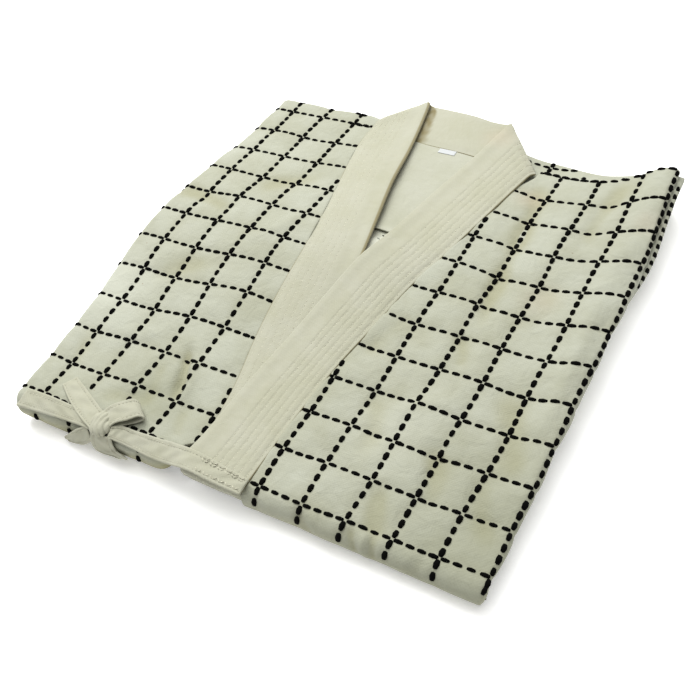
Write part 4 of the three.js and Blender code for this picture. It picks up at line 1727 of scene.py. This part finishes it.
@dataclass
class Knot:
    """The bow's knot: the tie wrapped once round, bunched into lengthwise folds."""

    x: float = -89.6
    y: float = -188.6
    z: float = 27.8
    long: float = 20.5
    wide: float = 17
    tall: float = 10.5
    yaw: float = -66
    folds: int = 4
    fold_depth: float = 1.5

    def build(self, wardrobe: Wardrobe) -> None:
        """Make the knot, a ball with folds raised along it.

        Args:
            wardrobe: the materials.
        """
        rings, sides = 40, 56
        polar, turn = np.meshgrid(
            np.linspace(0, math.pi, rings + 1)[1:-1], np.linspace(0, 2 * math.pi, sides, endpoint=False),
            indexing="ij")
        grid = np.stack([np.cos(polar), np.sin(polar) * np.cos(turn), np.sin(polar) * np.sin(turn)], -1)
        ends = np.array([[1.0, 0, 0], [-1.0, 0, 0]])
        ball = np.vstack([grid.reshape(-1, 3), ends])
        aside = ball[:, 1] + 0.34 * np.sin(ball[:, 0] * 2.2 + 0.4)
        ridge = np.abs(np.sin(aside * math.pi * self.folds / 2 + 0.9)) ** 0.55 - 0.75
        bunch = 1 - 0.12 * bell(ball[:, 0] / 0.35)
        points = ball * np.array([self.long, self.wide, self.tall]) / 2
        points = points * np.stack([np.ones_like(bunch), bunch, bunch], -1)
        points += unit(ball) * (ridge * self.fold_depth * smooth(-0.9, -0.2, ball[:, 2]))[:, None]
        yaw = math.radians(self.yaw)
        spin = np.array([[math.cos(yaw), -math.sin(yaw), 0], [math.sin(yaw), math.cos(yaw), 0], [0, 0, 1]])
        placed = points @ spin.T + (self.x, self.y, self.z)
        number, right = ring_numbers(rings - 1, sides)
        quads = np.stack([number[:-1], number[1:], right[1:], right[:-1]], -1).reshape(-1, 4).tolist()
        first, last = len(ball) - 2, len(ball) - 1
        caps = [[first, number[0, k], right[0, k]] for k in range(sides)]
        caps += [[last, right[-1, k], number[-1, k]] for k in range(sides)]
        uv = np.stack([points[:, 1], points[:, 0]], -1)
        piece = make_object("bow_knot_wrap", placed, quads + caps, uv, wardrobe.band)
        hand_over(piece, Finish.COLLAR, "bow_knot")


# ---------- Hidden layers ----------

@dataclass(frozen=True)
class Roll:
    """One folded edge in the stack: its middle height, half its height and how far it is set in."""

    height: float
    half: float
    inset: float
    wander: float
    phase: float


@dataclass
class HiddenLayers:
    """The folded skirt and body layers: one rounded solid whose sides show folded edges."""

    rolls: tuple[Roll, ...] = (
        Roll(3.1, 2.6, 1.2, 1.0, 0.4), Roll(7.9, 2.4, 0.2, 0.9, 2.1), Roll(11.6, 1.6, 3.2, 1.3, 4.0),
    )
    set_in: dict[str, float] = field(
        default_factory=lambda: {"right": 6.4, "left": 4.0, "front": 8.6, "back": 4.0})
    corner: float = 0.09
    recess: float = 9.0  # the layers draw back behind the tie beside the collar's end
    side_steps: int = 150
    corner_steps: int = 14
    top_rings: tuple[float, ...] = (18, 28, 44, 70, 105, 145)
    seen_from: tuple[float, float] = (150, 70)  # where the stitch lines of the right side start to show
    stitch_floor: float = 1.7  # lowest middle of a stitch, which keeps it off the table

    def outline(self) -> Array:
        """Walk round a square with rounded corners, evenly and counter-clockwise.

        Returns:
            Its points, from -1 to 1 in X and Y.
        """
        straight = 1 - self.corner
        points = []
        for side in range(4):
            turn = side * math.pi / 2
            spin = np.array([[math.cos(turn), -math.sin(turn)], [math.sin(turn), math.cos(turn)]])
            run = np.linspace(-straight, straight, self.side_steps, endpoint=False)
            angle = np.linspace(0, math.pi / 2, self.corner_steps, endpoint=False)
            edge = np.stack([np.ones_like(run), run], -1)
            bend = straight + self.corner * np.stack([np.cos(angle), np.sin(angle)], -1)
            points.append(np.vstack([edge, bend]) @ spin.T)
        return np.vstack(points)

    def ring(self, inset: Array | float, outline: Array, extra: dict[str, float]) -> tuple[Array, Array]:
        """Lay the outline round the jacket.

        Args:
            inset: how far it is set in all round.
            outline: the rounded square.
            extra: how much further on each side.

        Returns:
            X and Y of each point.
        """
        across, along = outline.T
        back, front = PACK.shoulder - extra["back"] - inset, -(PACK.front + extra["front"] + inset)
        y = along * np.where(along > 0, back, front)
        half_width, tie_x, reach = 185, -30, 13
        y = np.where(along < -0.9, y + self.recess * bell((across * half_width - tie_x) / reach), y)
        left = -(PACK.left_edge(y) + extra["left"] + inset)
        return across * np.where(across > 0, PACK.right_edge(y) - extra["right"] - inset, left), y

    def top(self, x: Array, y: Array) -> Array:
        """Work out the solid's top, which lies lower under the collar and the sleeves.

        Args:
            x, y: the places.

        Returns:
            Its height.
        """
        collar = smooth(-112, -84, x) * (1 - smooth(94, 122, x))
        sleeve = smooth(-115, -88, y)
        lowered = 1 - (1 - collar) * (1 - sleeve)
        right = smooth(150, 176, x) * sleeve
        shoulder = 1.2 * smooth(30, 60, x) * smooth(150, 172, y)
        return np.maximum(PACK.top(x, y) - 3.6 - 6.2 * lowered - 2.4 * right - shoulder, 3)

    def levels(self) -> list[tuple[float, Roll]]:
        """Return the heights of the levels up the side, each with the roll that it is on."""
        turns = np.linspace(-0.48 * math.pi, 0.48 * math.pi, 15)
        return [(roll.height + roll.half * np.sin(turn), roll) for roll in self.rolls for turn in turns]

    def side_point(self, outline: Array, walk: Array, height: float, roll: Roll) -> Array:
        """Work out one level of the side.

        Args:
            outline: the rounded square.
            walk: share of the way round at each of its points.
            height: the level's height.
            roll: the roll that it is on.

        Returns:
            The level's points, in order round the jacket.
        """
        up = (height - roll.height) / roll.half
        angle = walk * 2 * math.pi
        wander = roll.wander * (np.sin(angle * 5 + roll.phase) + 0.6 * np.sin(angle * 13 + 2 * roll.phase))
        rounding = roll.half * 1.1 * (1 - math.sqrt(max(0.0, 1 - up * up)))
        inset = roll.inset + np.maximum(wander, -0.6) * 0.6 + 0.6 + rounding
        x, y = self.ring(inset, outline, self.set_in)
        scale = PACK.top(x, y) / PACK.height
        rise = 1 + 0.06 * np.sin(angle * 4 + roll.phase)
        z = np.minimum(height * scale * rise, self.top(x, y) - 0.05 * (40 - height))
        return np.stack([x, y, np.maximum(z, height * 0.15)], -1)

    def build(self, wardrobe: Wardrobe) -> None:
        """Make the stack of folded edges and their stitches.

        Args:
            wardrobe: the materials.
        """
        outline = self.outline()
        walk = np.arange(len(outline)) / len(outline)
        levels = [np.stack([*self.ring(5.0, outline, self.set_in), np.zeros(len(outline))], -1)]
        levels += [self.side_point(outline, walk, *level) for level in self.levels()]
        for inset in self.top_rings:
            sides = {"right": inset, "left": inset, "front": inset - 2, "back": inset}
            x, y = self.ring(0.0, outline, sides)
            levels.append(np.stack([x, y, self.top(x, y)], -1))
        grid = np.stack(levels)
        count = len(outline)
        number, following = ring_numbers(len(grid), count)
        quads = np.stack([number[:-1], following[:-1], following[1:], number[1:]], -1).reshape(-1, 4).tolist()
        centre = len(grid.reshape(-1, 3))
        floor = [[centre, following[0, k], number[0, k]] for k in range(count)]
        roof = [[centre + 1, number[-1, k], following[-1, k]] for k in range(count)]
        points = np.vstack([grid.reshape(-1, 3), [[0, 0, 0], [5, 0, self.top(5.0, 0.0)]]])
        perimeter, climb = 1500.0, 60  # mm of cloth round the stack and up its side
        climbs = np.repeat(np.linspace(0, climb, len(grid)), count)
        uv = np.stack([np.tile(walk * perimeter, len(grid)), climbs], -1)
        uv = np.vstack([uv, [[0, 0], [0, 0]]])
        piece = make_object("hidden_layers_folded_edges", points, quads + floor + roof, uv, wardrobe.sashiko)
        hand_over(piece, Finish.SASHIKO, "hidden_layers")
        self.sew(outline, walk, wardrobe)

    def sew(self, outline: Array, walk: Array, wardrobe: Wardrobe) -> None:
        """Add the stitches that show on the folded edges.

        Args:
            outline: the rounded square.
            walk: share of the way round at each of its points.
            wardrobe: the materials.
        """
        run = StitchRun()
        for k, roll in enumerate(self.rolls[:2]):
            crest = self.side_point(outline, walk, roll.height + 0.2 * roll.half, roll)
            lengths = np.concatenate([[0], np.cumsum(np.linalg.norm(np.diff(crest, axis=0), axis=1))])
            outward = unit(np.cross(np.gradient(crest, axis=0), UP))
            stops = np.arange(4 + 3 * k, lengths[-1] - 4, STITCH_PITCH)
            places, away = (
                np.stack([np.interp(stops, lengths, line[:, axis]) for axis in range(3)], -1)
                for line in (crest, outward)
            )
            seen = (places[:, 0] < 150) | (places[:, 1] > self.seen_from[k])
            places, away = places[seen], away[seen]
            places[:, 2] = np.maximum(places[:, 2], self.stitch_floor)
            ahead = np.cross(UP, away)
            run.add(places + away * 0.3, ahead, away, CROSSWISE.size)
        wardrobe.stitches.sew("hidden_layers_sashiko_stitches", run, wardrobe.black, Seed=9)


# ---------- Stage ----------

@dataclass(frozen=True)
class Viewpoint:
    """Where the camera stands, how it is turned, and its lens."""

    x: float = 330.31
    y: float = -422.45
    z: float = 526.36
    azimuth: float = 40.3
    elevation: float = 47.225
    roll: float = -14.366
    lens: float = 50.16
    sensor: float = 36.0

    def build(self) -> None:
        """Make the scene's camera."""
        data = bpy.data.cameras.new("camera")
        data.type = "PERSP"
        data.lens, data.sensor_width = self.lens, self.sensor
        data.clip_start, data.clip_end = 0.05, 20.0
        camera = put_in_scene("camera", data)
        bpy.context.scene.camera = camera
        a, e, roll = (math.radians(v) for v in (self.azimuth, self.elevation, self.roll))
        ahead = Vector((-math.sin(a) * math.cos(e), math.cos(a) * math.cos(e), -math.sin(e)))
        level = ahead.cross(Vector((0, 0, 1))).normalized()
        upright = level.cross(ahead)
        right = level * math.cos(roll) + upright * math.sin(roll)
        up = upright * math.cos(roll) - level * math.sin(roll)
        turn = Matrix((right, up, -ahead)).transposed().to_4x4()
        camera.matrix_world = Matrix.Translation(Vector((self.x, self.y, self.z)) * MM) @ turn


@dataclass(frozen=True)
class SoftLamp:
    """A large soft lamp that faces the jacket."""

    name: str
    place: tuple[float, float, float]  # metres
    size: float
    power: float
    colour: tuple[float, float, float] = (1.0, 1.0, 1.0)

    def build(self) -> None:
        """Make the lamp."""
        data = bpy.data.lights.new(self.name, "AREA")
        data.shape, data.size, data.energy, data.color = "SQUARE", self.size, self.power, self.colour
        lamp = put_in_scene(self.name, data)
        lamp.location = self.place
        lamp.rotation_euler = (-Vector(self.place)).to_track_quat("-Z", "Y").to_euler()


@dataclass(frozen=True)
class Studio:
    """Pale floor, soft lamps and an even pale surrounding light."""

    lamps: tuple[SoftLamp, ...] = (
        SoftLamp("key_lamp", (-0.95, 0.8, 1.5), 1.5, 50.0),
        SoftLamp("top_lamp", (0.1, 0.1, 2.0), 1.8, 26.0),
    )
    surround: float = 0.36
    floor_reach: float = 6.0

    def build(self, wardrobe: Wardrobe) -> None:
        """Make the floor, the lamps and the surrounding light.

        Args:
            wardrobe: the materials.
        """
        reach = self.floor_reach
        mesh = bpy.data.meshes.new("floor")
        corners = [(-reach, -reach, 0), (reach, -reach, 0), (reach, reach, 0), (-reach, reach, 0)]
        mesh.from_pydata(corners, [], [(0, 1, 2, 3)])
        mesh.materials.append(wardrobe.floor)
        floor = put_in_scene("floor", mesh)
        for lamp in self.lamps:
            lamp.build()
        world = bpy.data.worlds.new("surround")
        bpy.context.scene.world = world
        world.use_nodes = True
        tree = world.node_tree
        tree.nodes.clear()
        light = add_node(tree, "ShaderNodeBackground", {"Color": (1, 1, 1, 1), "Strength": self.surround})
        add_node(tree, "ShaderNodeOutputWorld", {"Surface": light})
        bpy.context.scene.view_settings.view_transform = "Standard"


# ---------- The jacket ----------

SQUARE = 32.2  # one square of the stitch grid
# Creases: X and Y of the start, X and Y of the end, width, height and bow.
LEFT_CREASES = (
    (94, 150, 106, 48, 8, -1.5, 3), (108, 56, 114, -14, 7, -1.6, -2), (104, -22, 118, -52, 7, -1.8, 2),
    (74, -92, 92, -132, 8, -1.4, 3), (128, -112, 146, -160, 8, -1.7, 3),
    (112, -152, 126, -188, 7, -1.6, -2), (140, 44, 152, 4, 9, -1.2, 3), (150, 90, 160, 168, 8, -1.5, 2),
    (150, -60, 186, -120, 10, -1.5, 5), (168, -120, 190, -165, 8, -1.1, -3),
    (108, -186, 116, -206, 3.2, -1.4, 0), (124, -186, 128, -208, 3.0, -1.2, 0),
    (119, -186, 122, -208, 2.6, 1.1, 0), (70, -188, 84, -206, 5, -0.9, 0),
    (160, -186, 150, -206, 4.5, -0.8, 0), (50, -70, 66, -20, 8, -0.9, 3), (132, -80, 96, -96, 9, 1.2, -3),
    (60, -150, 80, -176, 8, 1.0, 3), (128, 110, 136, 60, 9, 0.9, 3), (182, 40, 187, -90, 6, 0.9, 1),
)
RIGHT_CREASES = (
    (-190, 36, -120, 24, 9, -1.8, 4), (-150, -60, -80, -20, 11, -1.2, 6),
    (-74, -106, -58, -148, 4.5, -3.2, 2), (-66, -112, -50, -146, 4, 1.5, 2),
    (-84, -120, -72, -158, 7, -1.4, -2), (-44, -150, -34, -178, 6, -1.0, -2),
    (-120, 60, -70, 90, 10, -1.0, 5), (-170, 110, -120, 150, 9, 0.9, 4),
    (-112, -164, -66, -160, 8, -1.3, 3), (-90, 0, -60, 50, 8, 1.0, -4), (-140, -120, -100, -100, 8, 0.9, 3),
    (-168, -100, -150, -170, 8, -0.9, 3),
)


def creases(rows: Sequence[Sequence[float]]) -> tuple[Crease, ...]:
    """Return the creases of a table's rows."""
    return tuple(Crease(row[:2], row[2:4], *row[4:]) for row in rows)


def left_front(collar: Collar) -> Panel:
    """Describe the wearer's left front, which lies on top.

    Args:
        collar: the band that it is sewn to.

    Returns:
        The panel.
    """
    gap = 0.5  # between the cloth and the collar
    crest = 198.2  # the last line runs along the crest of the right fold
    columns = (*(40 + SQUARE * k for k in range(-1, 5)), crest)
    return Panel(
        "front_left",
        left_x=lambda y: collar.seam_x(y, LEFT_ARM_ROWS) + gap + 3.8 * smooth(136, 158, y),
        right_x=lambda y: PACK.right_edge(y) - RIGHT_FOLD.radius,
        shoulder_y=lambda x: 168.5 - 6 * smooth(80, 130, x) + 14 * smooth(138, 188, x),
        front_y=FRONT_LINE,
        folds={"front": FRONT_FOLD, "right": RIGHT_FOLD, "shoulder": LOW_SHOULDER},
        grid=StitchGrid(
            columns=columns, rows=tuple(-185.3 + SQUARE * k for k in range(-1, 12)),
            drifts=(
                Drift(122, 160, 38, 95, along=-6.5), Drift(186, 165, 26, 95, along=7.5),
                Drift(205, -205, 75, 95, across=-3.6, along=4.2), Drift(crest, -205, 16, 95, across=3.6),
                Drift(crest, 185, 16, 80, across=-5.6), Drift(crest, 35, 15, 110, along=6.5))),
        creases=creases(LEFT_CREASES),
        shoulder_row=0.6, ripple=Ripple(0.9, 66, 0.6), cut=(0.26, 0.40), seam_side=-1,
    )


def right_front(collar: Collar) -> Panel:
    """Describe the wearer's right front, which passes under the left one.

    Args:
        collar: the band that it is sewn to.

    Returns:
        The panel.
    """
    gap = 0.5  # between the cloth and the collar
    columns = tuple(-153.6 + 32 * k for k in range(-1, 6))
    return Panel(
        "front_right",
        left_x=lambda y: PACK.left_edge(y) + LEFT_FOLD.radius,
        right_x=lambda y: np.minimum(
            collar.seam_x(y, RIGHT_ARM_ROWS), -28 + 0.09 * (np.asarray(y, float) + 183) ** 2) - gap,
        pinch=lambda x: 0.55 * bell((x + 27) / 9) - 0.06 * bell((x + 130) / 50),
        shoulder_y=lambda x: PACK.shoulder - SHOULDER_FOLD.radius - 5 * smooth(-90, -60, x),
        front_y=FRONT_LINE,
        folds={"front": FRONT_FOLD, "left": LEFT_FOLD, "shoulder": SHOULDER_FOLD},
        grid=StitchGrid(
            columns=columns, rows=tuple(-149.5 + 32.1 * k for k in range(-2, 12)),
            drifts=(
                Drift(-50, -60, 70, 60, along=7), Drift(-50, 108, 70, 45, along=4.5),
                Drift(-110, -5, 120, 75, across=-6), Drift(-130, 120, 120, 55, across=-3.5),
                Drift(-26, -165, 40, 45, across=5))),
        creases=creases(RIGHT_CREASES),
        loose=((-97, 172, -66, 171), (-98, 186, -84, 184), (-77, 143, -69, 143)),
        ripple=Ripple(0.9, 82, 2.2), cut=(0.24, 0.42), front_seen=0.92, front_roll_shade=1.0, seam_side=1,
    )


def build_sleeves(wardrobe: Wardrobe) -> None:
    """Make both sleeves.

    Args:
        wardrobe: the materials.
    """
    Sleeve(
        "sleeve_left", left_x=lambda y: mix(96, 60, smooth(130, 158, y)),
        right_x=lambda y: PACK.right_edge(y) + mix(-3.4, 2.9, smooth(25, 105, y)), front_y=-55,
        shoulder_y=lambda x: 187 - 13 * smooth(88, 142, x),
        under=lambda x: 3.4 + 1.8 * smooth(168, 188, x), edge_row=(66.0, 166.0),
        grid=StitchGrid(
            columns=(57, 89, 121, 153, 185), rows=tuple(180.5 - SQUARE * k for k in range(7, -2, -1))),
    ).build(wardrobe)
    Sleeve(
        "sleeve_right", left_x=lambda y: PACK.left_edge(y) + 10,
        right_x=lambda y: -78 + 0 * np.asarray(y, float), front_y=-55,
        shoulder_y=lambda x: PACK.shoulder - 9 + 0 * np.asarray(x, float), under=lambda x: 3.4 + 0 * x,
        grid=StitchGrid(
            columns=(-172, -140, -108, -76), rows=tuple(170 - SQUARE * k for k in range(7, -1, -1))),
    ).build(wardrobe)


def build_neck(wardrobe: Wardrobe) -> None:
    """Make the back, the lining with its hem, and the blank label.

    Args:
        wardrobe: the materials.
    """
    back = Inset("back_cloth", "back", (-46, 50, 6, 150), 2.7, 2.2, 0.4, under_back=5.7, slope=(38, 52))
    back.build(wardrobe.lining, Finish.SASHIKO, "hidden_layers_folded_edges")
    lining = Inset(
        "shoulder_lining_cloth", "shoulder_lining", (-48, 56, 53.5, 161), 3.1, 1.2, 0.5, under_back=0.9,
        back_line=((-60, 171.5), (-28, 165), (20, 162), (55, 160), (79, 159.5)))
    lining.build(wardrobe.lining, Finish.PLAIN, "back_cloth")
    label = Inset(
        "neck_label_blank", "neck_label", (-1.5, 13.5, 157.2, 162.6), 0.4, 0.4, 0.0, hidden=7, steps=12)
    label.build(wardrobe.label, Finish.LABEL, "shoulder_lining_cloth")
    for name, thread, x, y in (("back_black_stitch", wardrobe.black, 5.1, 48.9),
                               ("back_grey_stitch", wardrobe.grey, 3.8, 43.2)):
        stitch = StitchRun()
        place = back.face(np.array([x]), np.array([y])) + UP * 0.3
        stitch.add(place, np.array([[0.9, -0.4, 0]]), UP[None, :], (3.4, 1.1, 0.9))
        wardrobe.stitches.sew(name, stitch, thread, Seed=2)


def main() -> None:
    """Build the camera, the stage and every piece, in order."""
    logging.basicConfig(level=logging.INFO, format="%(name)s: %(message)s")
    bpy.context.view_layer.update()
    Viewpoint().build()
    wardrobe = Wardrobe()
    Studio().build(wardrobe)
    HiddenLayers().build(wardrobe)
    build_sleeves(wardrobe)
    collar = Collar()
    left_front(collar).build(wardrobe)
    right_front(collar).build(wardrobe)
    build_neck(wardrobe)
    collar.build(wardrobe)
    sewing = StitchRun()
    for strap in TIES:
        strap.build(wardrobe, "front_right_cloth")
        strap.sew(sewing)
    wardrobe.stitches.sew("tie_sewing_stitches", sewing, wardrobe.cream, Seed=21)
    Knot().build(wardrobe)


if __name__ == "__main__":
    main()
